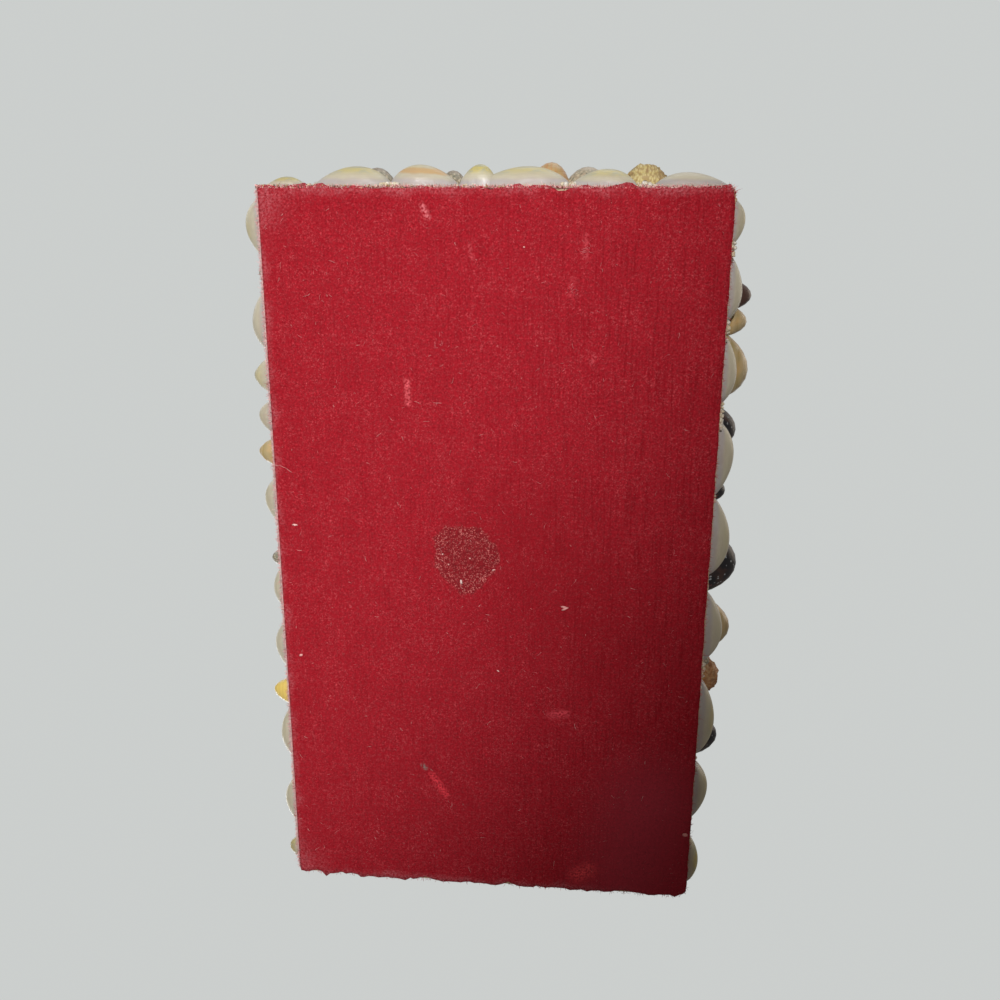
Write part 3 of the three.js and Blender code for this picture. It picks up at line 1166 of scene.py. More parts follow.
@dataclass(frozen=True)
class SpiralModel:
    """A snail shell: a round tube that winds in to its point, tipped over and sunk a little in the glue."""

    name: str
    shares: tuple[float, float] = (0.95, 0.7)
    turns: float = 3.2
    steps: int = 16
    sides: int = 12
    shrink: float = 0.52
    tube: float = 0.40
    peak: float = 1.1
    tip: float = 0.0
    sunk: float = 0.06

    def mould(self) -> Mould:
        """Models the snail shell.

        Returns:
            The mould.
        """
        bpy.ops.mesh.primitive_circle_add(
            vertices=self.sides,
            radius=self.tube,
            fill_type="NGON",
            location=(1.0 - self.tube, 0.0, self.tube * 0.8),
            rotation=(math.pi / 2, 0.0, 0.0),
        )
        piece = Bench.settle(bpy.context.object, self.name)
        smaller = self.shrink ** (1.0 / self.steps)
        turn = 2.0 * math.pi / self.steps
        with Bench.shaping(piece):
            bpy.ops.mesh.select_all(action="SELECT")
            for _ in range(round(self.turns * self.steps)):
                bpy.ops.mesh.extrude_region_move()
                bpy.ops.transform.rotate(value=turn, orient_axis="Z", center_override=(0, 0, 0))
                bpy.ops.transform.resize(value=(smaller,) * 3, center_override=(0, 0, self.peak))
            bpy.ops.mesh.select_all(action="SELECT")
            bpy.ops.transform.rotate(value=math.radians(self.tip), orient_axis="X", center_override=(0, 0, 0))
        heights = [vertex.co.z for vertex in piece.data.vertices]
        cut = min(heights) + self.sunk * (max(heights) - min(heights))
        with Bench.shaping(piece):
            Bench.pick(piece, lambda place: place.z < cut)
            bpy.ops.transform.resize(value=(1.0, 1.0, 0.0), center_override=(0, 0, cut))
        return Mould.of(piece)


@dataclass(frozen=True)
class GrainModel:
    """A grain of sand with a few dozen faces."""

    name: str = "grain"

    def mould(self) -> Mould:
        """Models the grain, centred on its own middle.

        Returns:
            The mould.
        """
        bpy.ops.mesh.primitive_ico_sphere_add(subdivisions=1, radius=1.0)
        piece = Bench.settle(bpy.context.object, self.name)
        with Bench.shaping(piece):
            bpy.ops.mesh.select_all(action="SELECT")
            bpy.ops.transform.vertex_random(offset=0.22, seed=7)
        return Mould.of(piece, fit=False)


@dataclass(frozen=True)
class HairModel:
    """A short curved fibre, one unit long, with three sides and a pointed end."""

    name: str = "hair"
    parts: int = 3
    bend: float = 0.16

    def mould(self) -> Mould:
        """Models the fibre, rising from its root.

        Returns:
            The mould.
        """
        bpy.ops.mesh.primitive_circle_add(vertices=3, radius=1.0, fill_type="NGON")
        piece = Bench.settle(bpy.context.object, self.name)
        with Bench.shaping(piece):
            bpy.ops.mesh.select_all(action="SELECT")
            for part in range(self.parts):
                lean = self.bend * (part + 0.5)
                rise = 1.0 / self.parts
                bpy.ops.mesh.extrude_region_move(TRANSFORM_OT_translate={"value": (lean, 0, rise)})
                thinner = 0.35 if part == self.parts - 1 else 0.9
                middle = (self.bend * (part + 1) ** 2 / 2, 0, rise * (part + 1))
                bpy.ops.transform.resize(value=(thinner, thinner, 1.0), center_override=middle)
        return Mould.of(piece, fit=False)


class Shell(Enum):
    """Every kind of shell on the box."""

    FULL_COWRIE = CowrieModel("full_cowrie", fullness=0.84)
    MONEY_COWRIE = CowrieModel("money_cowrie", fullness=0.98, rim_flare=1.07)
    SMALL_COWRIE = CowrieModel("small_cowrie", fullness=0.72, segments=28, rings=14, refine=0)
    ROUND_SNAIL = CowrieModel(
        "round_snail", (0.9, 0.6), 0.68, 0.05, 0.04, segments=28, rings=14, rim_flare=1.0, refine=0
    )
    BEADED_SNAIL = CowrieModel(
        "beaded_snail", (0.9, 0.6), 0.7, 0.05, 0.04, segments=28, rings=14, rim_flare=1.0, beads=0.15
    )
    CLAM = ValveModel("clam", segments=32)
    COCKLE = ValveModel("cockle", (0.94, 0.46), bands=7, ribs=14, rib=1.07, closing=1.0)
    SCALLOP = ValveModel("scallop", bands=14, ribs=19, closing=1.5, ears=True)
    NERITE = SpiralModel(
        "nerite", (0.9, 0.66), 2.2, sides=14, shrink=0.36, tube=0.56, peak=1.0, tip=70.0, sunk=0.12
    )
    TOP_SNAIL = SpiralModel("top_snail", (0.98, 0.82), 4.0, shrink=0.6, tube=0.38, peak=1.5, tip=18.0)
    BUTTON_SNAIL = SpiralModel("button_snail", (0.95, 0.55), 3.0, shrink=0.5, tube=0.44, peak=0.85, tip=15.0)

    def mould(self) -> Mould:
        """The kind's mould, modelled the first time it is asked for.

        Returns:
            The mould.
        """
        if self.name not in MOULDS:
            MOULDS[self.name] = self.value.mould()
        return MOULDS[self.name]


MOULDS: dict[str, Mould] = {}


# ----- Where shells are set -----


class Side(Enum):
    """The four outer walls, by the turn of their frame: X along the wall, Y up and Z outwards."""

    FRONT = 0.0
    RIGHT = 90.0
    BACK = 180.0
    LEFT = 270.0

    @property
    def label(self) -> str:
        """The side's name in the frame's node names."""
        return self.name.lower()

    def frame(self) -> Matrix:
        """Carries the side's own frame to the row frame."""
        return Matrix.Rotation(math.radians(self.value), 4, "Z") @ Matrix.Rotation(math.pi / 2, 4, "X")

    def room(self, node: str) -> tuple[Vector, Vector]:
        """A node's box in the side's own frame.

        Args:
            node: The frame node's name.

        Returns:
            The lowest and the highest corner, in metres.
        """
        back = self.frame().inverted()
        ends = [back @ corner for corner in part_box(node)]
        return Vector(map(min, *ends)), Vector(map(max, *ends))


@dataclass(frozen=True)
class Look:
    """A kind of shell with its finish, and the tints that it may have."""

    shell: Shell
    finish: Finish
    least: Colour = (0.0, 0.0, 0.0)
    most: Colour = (1.0, 1.0, 1.0)

    def tint(self, draw: random.Random) -> Colour:
        """One tint between the least and the most."""
        return tuple(draw.uniform(low, high) for low, high in zip(self.least, self.most))


@dataclass(frozen=True)
class Spot:
    """One shell on a bed, in metres and radians in the bed's frame."""

    shell: Shell
    finish: Finish
    middle: Vector
    size: Vector
    tint: Colour
    turn: float = 0.0
    tilt: tuple[float, float] = (0.0, 0.0)

    def place(self) -> Matrix:
        """What carries the shell's mould to the bed's frame.

        Returns:
            The matrix.
        """
        tilt = Matrix.Rotation(self.tilt[0], 4, "X") @ Matrix.Rotation(self.tilt[1], 4, "Y")
        scale = Matrix.Diagonal((self.size.x / 2, self.size.y / 2, self.size.z, 1.0))
        return Matrix.Translation(self.middle) @ Matrix.Rotation(self.turn, 4, "Z") @ tilt @ scale

    def discs(self) -> np.ndarray:
        """Three discs along the shell that cover its plan.

        Returns:
            Rows of x, y and radius.
        """
        radius = min(self.size.x, self.size.y) / 2
        reach = max(self.size.x, self.size.y) / 2 - radius
        turn = self.turn + (math.pi / 2 if self.size.y > self.size.x else 0.0)
        step = Vector((math.cos(turn), math.sin(turn))) * reach
        x, y = self.middle.x, self.middle.y
        return np.array([(x + step.x * k, y + step.y * k, radius) for k in (-1, 0, 1)])


@dataclass
class Layout:
    """The plan of a panel: what has been set on it, and what still fits."""

    low: Vector
    high: Vector
    face: float
    draw: random.Random
    spots: list[Spot] = field(default_factory=list)
    taken: np.ndarray = field(default_factory=lambda: np.empty((0, 3)))

    def fits(self, discs: np.ndarray, closeness: float) -> bool:
        """Whether discs fit between what is set.

        Args:
            discs: Rows of x, y and radius.
            closeness: How near they may come: below 1 they may overlap a little.

        Returns:
            Whether they all fit.
        """
        reach = discs[:, 2:] * 0.8
        inside = (discs[:, :2] - reach > np.array(self.low[:2])).all()
        inside = inside and (discs[:, :2] + reach < np.array(self.high[:2])).all()
        if not inside or not len(self.taken):
            return bool(inside)
        apart = np.hypot(*(discs[:, None, :2] - self.taken[None, :, :2]).transpose(2, 0, 1))
        return bool((apart > (discs[:, None, 2] + self.taken[None, :, 2]) * closeness).all())

    def set(self, spot: Spot) -> None:
        """Sets one shell."""
        self.spots.append(spot)
        self.taken = np.concatenate((self.taken, spot.discs()))

    def fill(
        self, looks: Sequence[Look], sizes: Sequence[float], tries: int, embed: float = 0.1, foot: float = 0.0
    ) -> None:
        """Fills what is free with shells, the largest first.

        Args:
            looks: The kinds of shell, drawn in equal shares.
            sizes: The lengths to try, in metres, from large to small.
            tries: How often a place is drawn for each length.
            embed: The share of each shell's height that is sunk in the glue.
            foot: How far above the panel's lowest edge the shells' middles start, in metres.
        """
        for size in sizes:
            for _ in range(tries):
                look = self.draw.choice(looks)
                length = size * self.draw.uniform(0.9, 1.1)
                width, height = (length * share for share in look.shell.value.shares)
                x = self.draw.uniform(self.low.x, self.high.x)
                y = self.draw.uniform(self.low.y + foot, self.high.y)
                middle = Vector((x, y, self.face - height * embed))
                tint = look.tint(self.draw)
                turn = self.draw.uniform(0.0, 2.0 * math.pi)
                tilt = (self.draw.uniform(-0.15, 0.15), self.draw.uniform(-0.15, 0.15))
                shape = Vector((length, width, height))
                spot = Spot(look.shell, look.finish, middle, shape, tint, turn, tilt)
                if self.fits(spot.discs(), 0.9):
                    self.set(spot)

    def grains(self, count: int, sizes: tuple[float, float], closeness: float) -> list[Matrix]:
        """Places for grains of sand in what is free.

        Args:
            count: How many places are drawn.
            sizes: The smallest and the largest radius, in metres.
            closeness: How near a grain may lie to a shell: below 1 it may run under the shell's edge.

        Returns:
            A place for each grain that fits.
        """
        found = []
        for _ in range(count):
            radius = self.draw.uniform(*sizes)
            x = self.draw.uniform(self.low.x, self.high.x)
            y = self.draw.uniform(self.low.y, self.high.y)
            if self.fits(np.array([(x, y, radius)]), closeness):
                found.append(grain_place(self.draw, Vector((x, y, self.face + radius * 0.25)), radius))
        return found


def grain_place(draw: random.Random, middle: Vector, radius: float) -> Matrix:
    """What carries a grain's mould to its place, turned and flattened at random.

    Args:
        draw: Where the random numbers come from.
        middle: The grain's middle.
        radius: Its largest radius, in metres.

    Returns:
        The matrix.
    """
    turn = Matrix.Rotation(draw.uniform(0.0, math.pi), 4, (draw.random(), draw.random(), 0.3))
    width, height = radius * draw.uniform(0.7, 1.0), radius * draw.uniform(0.6, 0.95)
    scale = Matrix.Diagonal((radius, width, height, 1.0))
    return Matrix.Translation(middle) @ turn @ scale


PALE_COWRIE = Look(Shell.SMALL_COWRIE, Finish.COWRIE, (0.0, 0.0, 0.2), (0.35, 0.0, 0.6))
YELLOW_COWRIE = Look(Shell.SMALL_COWRIE, Finish.COWRIE, (0.7, 0.0, 0.4), (1.0, 0.3, 0.9))
RINGED_COWRIE = Look(Shell.SMALL_COWRIE, Finish.COWRIE, (0.0, 0.8, 0.3), (0.5, 1.0, 0.5))
PALE_CLAM = Look(Shell.CLAM, Finish.CLAM, (0.0, 0.0, 0.0), (0.4, 0.2, 0.8))
TAN_CLAM = Look(Shell.CLAM, Finish.CLAM, (0.6, 0.0, 0.0), (1.0, 0.5, 0.8))
BLACK_NERITE = Look(Shell.NERITE, Finish.NERITE, (0.6, 0.0, 0.0), (1.0, 1.0, 1.0))
PLAIN_NERITE = Look(Shell.NERITE, Finish.NERITE, (0.0, 0.0, 0.0), (0.2, 1.0, 1.0))
GREEN_SNAIL = Look(Shell.TOP_SNAIL, Finish.SNAIL, (0.0, 0.0, 0.0), (0.4, 0.3, 1.0))
ROSY_SNAIL = Look(Shell.BUTTON_SNAIL, Finish.SNAIL, (0.6, 0.4, 0.0), (1.0, 1.0, 1.0))
TAN_DOME = Look(Shell.SMALL_COWRIE, Finish.CLAM)
BLACK_DOME = Look(Shell.ROUND_SNAIL, Finish.NERITE)
SPECKLED_DOME = Look(Shell.ROUND_SNAIL, Finish.SNAIL)
ROUGH_DOME = Look(Shell.BEADED_SNAIL, Finish.RIBBED)
CREAM_COCKLE = Look(Shell.COCKLE, Finish.RIBBED, (0.0, 0.0, 0.0), (0.35, 1.0, 0.9))
RUSTY_COCKLE = Look(Shell.COCKLE, Finish.RIBBED, (0.7, 0.0, 0.0), (1.0, 1.0, 0.8))
MIXED = (
    PALE_COWRIE, PALE_COWRIE, YELLOW_COWRIE, YELLOW_COWRIE, RINGED_COWRIE, PALE_CLAM, TAN_CLAM, TAN_CLAM,
    BLACK_NERITE, PLAIN_NERITE, GREEN_SNAIL, ROSY_SNAIL, CREAM_COCKLE, RUSTY_COCKLE,
)
SMALL_MIXED = (BLACK_NERITE, GREEN_SNAIL, ROSY_SNAIL, ROSY_SNAIL, PALE_COWRIE, PALE_CLAM)


# ----- The sub-assemblies -----


def report(piece: Piece) -> None:
    """Logs a finished piece with how many triangles it has."""
    piece.data.calc_loop_triangles()
    LOG.info("%s: %d triangles", piece.name, len(piece.data.loop_triangles))


def declare(piece: Piece, slot: str, *nodes: str) -> Piece:
    """Makes a finished piece part of the box, and hides the frame's nodes that it stands for.

    Args:
        piece: The piece.
        slot: Not used.
        nodes: The frame's nodes that it stands for, if there are any.

    Returns:
        The same piece.
    """
    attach(piece, BODY)
    if nodes:
        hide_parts(*nodes)
    return piece


@dataclass
class LooseFibres:
    """The fibres of the felt under the box: along its edge, out of its nap, and the lint on it.

    Each ball of lint is given by its middle and the curl, one long fibre, by its points, in millimetres.
    """

    half: Vector
    corner: float
    front_corner: float
    fuzz_count: int = 5400
    nap_count: int = 2200
    lint_count: int = 420
    ball_hairs: int = 12
    balls: tuple[tuple[float, float], ...] = ((14.2, 68.7), (-26.2, 94.5), (-22.5, 84.0))
    curl: tuple[tuple[float, float], ...] = ((64.4, 31.8), (62.6, 31.6), (60.9, 30.8), (59.3, 29.5))
    draw: random.Random = field(default_factory=lambda: random.Random(11))
    hair: Mould = field(default_factory=lambda: HairModel().mould())
    cluster: Cluster = field(default_factory=lambda: Cluster("base_felt_fibres"))

    def build(self) -> Piece:
        """Builds the fibres.

        Returns:
            The piece that they all make.
        """
        self._lay_fuzz()
        self._lay_nap()
        self._lay_lint()
        for start, end in zip(self.curl, self.curl[1:]):
            root = Vector((*start, -0.1)) * MM
            aim = Vector((*end, -0.1)) * MM - root
            self._lay(root, aim, aim.length * 1.05, 0.07 * MM, (1.0, 1.0, 0.0), straight=True)
        return self.cluster.make()

    def _lay_fuzz(self) -> None:
        """Lays the fibres along the edge, thickest and palest at the back and at one side."""
        draw, half = self.draw, self.half
        back, side, round_trip = 2 * half.x, 2 * half.x + 2 * half.y, 4 * (half.x + half.y)
        for number in range(self.fuzz_count):
            first, last = ((0, round_trip), (0, back), (back, side))[number % 3]
            root, out = self._on_edge(draw.uniform(first, last))
            lift = Vector((draw.gauss(0, 0.5), draw.gauss(0, 0.5), draw.gauss(-0.1, 0.35)))
            length = draw.uniform(0.4, 1.2) * MM * (1.6 if draw.random() < 0.06 else 1.0)
            root = self._off_corner(root) - out * 0.3 * MM + Vector((0, 0, draw.uniform(0.0, 0.7) * MM))
            tint = (draw.random() ** 2, draw.random() ** 3 * 0.9, 0.0)
            if (out.x > 0.5 or out.y > 0.5) and draw.random() < 0.8:
                tint = (draw.uniform(0.4, 1.0), draw.uniform(0.6, 1.0), 0.0)
            soiled = 0.05 + 0.4 * max(0.0, root.x / half.x)
            if (out.y > 0.5 and draw.random() < soiled) or draw.random() < 0.03:
                tint = (1.0, 1.0, 1.0)
            self._lay(root, out + lift, length, 0.065 * MM, tint)

    def _lay_nap(self) -> None:
        """Lays the fibres that stand out of the nap all over."""
        draw, half = self.draw, self.half
        for _ in range(self.nap_count):
            root = Vector((draw.uniform(-half.x, half.x), draw.uniform(-half.y, half.y), 0.05 * MM)) * 0.985
            aim = Vector((draw.gauss(0, 1.0), draw.gauss(0, 1.0), draw.uniform(-0.7, -0.25)))
            length = draw.uniform(0.35, 0.8) * MM
            tint = (draw.random() ** 2, draw.random() ** 3 * 0.9, draw.random() * 0.8)
            self._lay(root, aim, length, 0.035 * MM, tint)

    def _lay_lint(self) -> None:
        """Lays the pale lint, most of it towards one corner, and the little balls of it."""
        draw, half = self.draw, self.half
        for _ in range(self.lint_count):
            x = draw.uniform(-0.97, 0.97) * half.x
            y = draw.uniform(-0.97, 0.97) * half.y
            if draw.random() > 0.65 + 0.2 * (x / half.x) + 0.2 * (y / half.y):
                continue
            aim = Vector((draw.gauss(0, 1.0), draw.gauss(0, 1.0), -0.06))
            length = draw.uniform(0.7, 2.0) * MM
            tint = (1.0, draw.uniform(0.3, 0.95), 0.0)
            self._lay(Vector((x, y, -0.02 * MM)), aim, length, 0.05 * MM, tint)
        for x, y in self.balls:
            for _ in range(self.ball_hairs):
                root = Vector((x + draw.gauss(0, 0.8), y + draw.gauss(0, 0.8), -0.05)) * MM
                aim = Vector((draw.gauss(0, 1.0), draw.gauss(0, 1.0), -0.1))
                self._lay(root, aim, draw.uniform(0.7, 1.5) * MM, 0.05 * MM, (1.0, 0.45, 0.0))

    def _off_corner(self, root: Vector) -> Vector:
        """Moves a point of the square outline onto the round of a corner.

        Args:
            root: The point.

        Returns:
            The moved point, or the same one if it lies off the corners.
        """
        radius = self.corner if root.y > 0 else self.front_corner
        start_x, start_y = self.half.x - radius, self.half.y - radius
        past = Vector((max(0.0, abs(root.x) - start_x), max(0.0, abs(root.y) - start_y)))
        if min(past) <= 0.0 or past.length <= radius:
            return root
        past *= radius / past.length
        x = math.copysign(start_x + past.x, root.x)
        y = math.copysign(start_y + past.y, root.y)
        return Vector((x, y, root.z))

    def _on_edge(self, along: float) -> tuple[Vector, Vector]:
        """A point of the felt's square outline.

        Args:
            along: How far along the outline it is, from the left end of the back edge.

        Returns:
            The point and the direction out of the felt.
        """
        x, y = self.half.xy
        sides = (
            (2 * x, Vector((-x, y, 0)), Vector((1, 0, 0)), Vector((0, 1, 0))),
            (2 * y, Vector((x, y, 0)), Vector((0, -1, 0)), Vector((1, 0, 0))),
            (2 * x, Vector((x, -y, 0)), Vector((-1, 0, 0)), Vector((0, -1, 0))),
            (2 * y, Vector((-x, -y, 0)), Vector((0, 1, 0)), Vector((-1, 0, 0))),
        )
        for length, start, direction, out in sides:
            if along <= length:
                return start + direction * along, out
            along -= length
        return sides[0][1], sides[0][3]

    def _lay(
        self, root: Vector, aim: Vector, length: float, radius: float, tint: Colour, straight: bool = False
    ) -> None:
        """Lays one fibre.

        Args:
            root: Where it starts.
            aim: The direction that it runs in.
            length: Its length, in metres.
            radius: Its radius, in metres.
            tint: Its own tint.
            straight: Whether it is bent only a little, and not turned at random.
        """
        turn = aim.to_track_quat("Z", "X").to_matrix().to_4x4()
        spin = Matrix.Rotation(0.0 if straight else self.draw.uniform(0, 2 * math.pi), 4, "Z")
        side = length * 0.6 if straight else length
        scale = Matrix.Diagonal((side, side, length, 1.0))
        bend = self.hair.points[:, 2:] ** 2 * np.array([[0.12 if straight else 0.5, 0.0, 0.0]])
        points = self.hair.points * (radius / length, radius / length, 1.0) + bend
        thin = Mould(points, self.hair.corners, self.hair.counts, self.hair.growth)
        self.cluster.lay(thin, Matrix.Translation(root) @ turn @ spin @ scale, Finish.FIBRE.material(), tint)


@dataclass
class BaseFelt:
    """The flocked felt glued under the box, with its frayed edge, its loose fibres and what is stuck on it.

    Each tab of the front edge is its place along it, half its width and how far it is pushed in, in metres,
    and each flake its place, length and width in millimetres, its angle in degrees and how red it is.
    """

    node: str = "base_felt"
    board: str = "bottom_board_cut"
    cell: float = 1.35 * MM
    corner: float = 1.5 * MM
    front_corner: float = 3.4 * MM
    band: float = 5.0 * MM
    wave: float = 3.6 * MM
    straight: float = 0.22
    tabs: tuple[tuple[float, float, float], ...] = (
        (0.0555, 0.0008, -0.0012), (0.0588, 0.0010, 0.0002), (-0.0612, 0.0012, -0.0009),
        (0.0, 0.0010, 0.0004), (0.0430, 0.0009, -0.0006), (-0.0330, 0.0010, -0.0005),
    )
    notch: tuple[float, float] = (-21 * MM, -13 * MM)
    crumb_count: int = 700
    flakes: tuple[tuple[float, float, float, float, float, float], ...] = (
        (8.6, -3.1, 1.8, 0.8, 100, 0.1), (-23.0, -10.5, 2.8, 0.8, 28, 0.9), (-22.6, -9.9, 2.2, 0.7, -4, 0.9),
        (-2.8, -32.1, 1.2, 0.5, 150, 0.3), (59.4, 13.3, 2.1, 0.8, 0, 0.5), (59.9, -29.9, 1.5, 1.0, 40, 0.8),
        (-9.3, 95.0, 0.6, 0.5, 0, 0.4), (-63.4, -86.8, 2.0, 1.6, 0, 1.0), (14.2, 5.6, 0.7, 0.5, 60, 0.4),
        (5.9, 4.6, 0.6, 0.5, 20, 0.3), (-1.3, 1.2, 1.2, 0.5, 25, 0.6), (12.4, 2.4, 0.6, 0.5, 120, 0.4),
    )

    def build(self) -> list[Piece]:
        """Returns:
            The felt, its loose fibres and the flakes.
        """
        size = box_size(self.node)
        top = box_middle(self.node)
        top.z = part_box(self.node)[1].z
        felt = Bench.grid("base_felt_cloth", size, self.cell, top)
        Bench.round_corners(felt, self.corner, self.front_corner, solid=False)
        self._fray(felt, size)
        Bench.modify(felt, "SOLIDIFY", thickness=size.z * 0.94, offset=-1.0)
        lie = clouds("felt_lie", 9 * MM)
        Bench.modify(felt, "DISPLACE", texture=lie, strength=0.22 * MM, mid_level=0.5, direction="Z")
        Bench.close(felt)
        Bench.smooth(felt)
        felt.data.materials.append(self._finish(size).material())
        declare(felt, "red_felt", self.node)
        fibres = LooseFibres(size / 2, self.corner, self.front_corner)
        loose = declare(fibres.build(), "red_felt")
        chips = declare(self._chips(size / 2), "red_felt")
        return [felt, loose, chips]

    def _fray(self, felt: Piece, size: Vector) -> None:
        """Makes the outline uneven, and bares the board at one place of the back edge.

        Args:
            felt: The flat felt.
            size: Its sides, in metres.
        """
        edge = felt.vertex_groups.new(name="edge")
        for vertex in felt.data.vertices:
            to_side, to_end = size.x / 2 - abs(vertex.co.x), size.y / 2 - abs(vertex.co.y)
            side = max(0.0, 1.0 - to_side / self.band) ** 1.5 * self.straight
            end = max(0.0, 1.0 - to_end / self.band) ** 1.5
            edge.add([vertex.index], max(side, end), "REPLACE")
        for direction, scale, share in (("X", 5.0, 1.0), ("Y", 6.0, 1.0), ("X", 1.7, 0.28), ("Y", 1.9, 0.28)):
            how = {"strength": self.wave * share, "direction": direction, "vertex_group": "edge"}
            texture = clouds(f"fray_{direction}{scale:g}", scale * MM)
            Bench.modify(felt, "DISPLACE", texture=texture, mid_level=0.46, **how)
        start, end = self.notch
        limit = size.y / 2 - 0.9 * MM
        with Bench.shaping(felt):
            Bench.pick(felt, lambda place: start < place.x < end and place.y > limit)
            bpy.ops.transform.translate(value=(0, -0.4 * MM, 0))
            for x, reach, shift in self.tabs:
                Bench.pick(felt, lambda place: abs(place.x - x) < reach and place.y < -limit)
                bpy.ops.transform.translate(value=(0, shift, 0))

    def _finish(self, size: Vector) -> FlockedFelt:
        """The felt's finish with its marks of wear and its painted shade.

        Args:
            size: The felt's sides, in metres.

        Returns:
            The finish.
        """
        grey = (0.26, 0.22, 0.20)
        streaks = (
            Streak((21.5, -67.0), (20.7, -68.0), 1.3, grey, 0.85),
            Streak((18.5, -70.5), (14.2, -77.2), 2.2, (0.80, 0.055, 0.075), 1.0),
            Streak((18.6, 105.6), (17.2, 102.8), 1.4, (0.80, 0.20, 0.22), 0.9),
            Streak((23.9, 57.6), (23.7, 51.3), 1.5, (0.80, 0.13, 0.15), 0.9),
            Streak((-19.6, -46.4), (-24.0, -45.7), 2.4, (0.74, 0.075, 0.10), 0.85),
            Streak((-26.0, 98.0), (-26.2, 92.5), 1.3, (0.72, 0.11, 0.13), 0.45),
            Streak((-22.8, 86.4), (-22.4, 82.1), 1.6, (0.66, 0.08, 0.10), 0.4),
            Streak((5.8, 95.2), (5.0, 92.0), 1.1, (0.72, 0.11, 0.13), 0.5),
            Streak((-29.2, 66.1), (-28.8, 63.3), 1.0, (0.72, 0.11, 0.13), 0.5),
            # Painted fill light: a paler, bluer red over the corner of the felt that the key light leaves in
            # shade.
            Streak((-54.0, -78.0), (-48.0, -108.0), 30.0, (0.47, 0.046, 0.070), 0.7),
            # Painted shade: a broad soft darkening across the middle of the felt.
            Streak((-10.0, 10.0), (-30.0, -14.0), 36.0, (0.26, 0.008, 0.013), 0.32),
            Streak((-29.5, -104.6), (-32.6, -102.6), 5.0, (0.80, 0.070, 0.080), 0.85),
        )
        return FlockedFelt("red_felt_worn_painted_shade", size.x / 2 / MM, size.y / 2 / MM, streaks=streaks)

    def _chips(self, half: Vector) -> Piece:
        """Lays the white flakes on the felt, and the crumbs of glue and lint along its back edge.

        Args:
            half: Half the felt's sides, in metres.

        Returns:
            The piece.
        """
        draw = random.Random(5)
        grain = GrainModel().mould()
        chips = Cluster("base_felt_flakes")
        for x, y, length, width, angle, redness in self.flakes:
            turn = Matrix.Rotation(math.radians(180 - angle), 4, "Z")
            scale = Matrix.Diagonal((length / 2 * MM, width / 2 * MM, 0.12 * MM, 1.0))
            skew = Matrix.Rotation(draw.uniform(-0.1, 0.1), 4, "X")
            place = Matrix.Translation(Vector((x, y, -0.08)) * MM) @ turn @ skew @ scale
            chips.lay(grain, place, Finish.FLAKE.material(), (redness, 1.0, 1.0))
        for _ in range(self.crumb_count):
            x = half.x * (1.0 - 1.9 * draw.random() ** 2.0)
            middle = Vector((x, half.y + draw.uniform(-0.25, 0.6) * MM, draw.uniform(0.0, 0.9) * MM))
            sandy = draw.random() < 0.35
            finish = Finish.GRIT if sandy else Finish.FIBRE
            tint = (draw.uniform(0.3, 1.0), 0.3, 0.5) if sandy else (1.0, 0.7, draw.choice((0.0, 0.0, 1.0)))
            place = grain_place(draw, middle, draw.uniform(0.11, 0.3) * MM)
            chips.lay(grain, place, finish.material(), tint)
        return chips.make()


@dataclass
class Carcass:
    """The box itself: bare boards, as the frame has them but for the rounded corners of the lowest one."""

    boards: tuple[str, ...] = (
        "front_wall", "right_wall", "back_wall", "left_wall", "lid_board",
        "lid_front_strip", "lid_right_strip", "lid_back_strip", "lid_left_strip",
    )
    base: str = "bottom_board"
    back_corner: float = 1.9 * MM
    front_corner: float = 4.2 * MM

    def build(self) -> list[Piece]:
        """Cuts the board under the box, with its rounded corners, and finishes them all.

        Returns:
            The boards.
        """
        bpy.ops.mesh.primitive_cube_add(size=1.0, location=box_middle(self.base))
        base = bpy.context.object
        base.scale = box_size(self.base)
        base = Bench.settle(base, "bottom_board_cut")
        Bench.round_corners(base, self.back_corner, self.front_corner, solid=True)
        Bench.close(base)
        base.data.materials.append(Finish.BOARD.material())
        declare(base, "brown_board", self.base)
        boards = [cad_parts[node] for node in self.boards]
        for board in boards:
            board.data.materials.clear()
            board.data.materials.append(Finish.BOARD.material())
        return [base, *boards]


@dataclass
class Linings:
    """The felt sheets glued inside the box and inside the lid."""

    thickness: float = 0.85 * MM
    cell: float = 3.5 * MM
    trim: float = 0.6 * MM
    sheets: tuple[tuple[str, str], ...] = (
        ("floor_lining", "bottom_board_cut"), ("front_lining", "front_wall"), ("right_lining", "right_wall"),
        ("back_lining", "back_wall"), ("left_lining", "left_wall"), ("lid_lining", "lid_board"),
    )

    def build(self) -> list[Piece]:
        """Builds and declares every lining.

        Returns:
            The linings.
        """
        finish = FlockedFelt("red_felt_lining").material()
        return [self._lining(node, finish) for node, board in self.sheets]

    def _lining(self, node: str, finish: Material) -> Piece:
        """Builds one lining, upright or flat as its node is.

        Args:
            node: The node that it stands for.
            finish: Its material.

        Returns:
            The lining.
        """
        size = box_size(node)
        thin = min(range(3), key=lambda axis: size[axis])
        turn = ((0.0, math.pi / 2, 0.0), (math.pi / 2, 0.0, 0.0), (0.0, 0.0, 0.0))[thin]
        across = ((size.z, size.y), (size.x, size.z), (size.x, size.y))[thin]
        lining = Bench.grid(f"{node}_cloth", across, self.cell, box_middle(node), turn, self.trim)
        lie = clouds(f"{node}_lie", 14 * MM)
        Bench.modify(lining, "DISPLACE", texture=lie, strength=0.12 * MM, mid_level=0.5)
        Bench.modify(lining, "SOLIDIFY", thickness=self.thickness, offset=0.0)
        Bench.close(lining)
        Bench.smooth(lining)
        lining.data.materials.append(finish)
        declare(lining, "red_felt", node)
        return lining


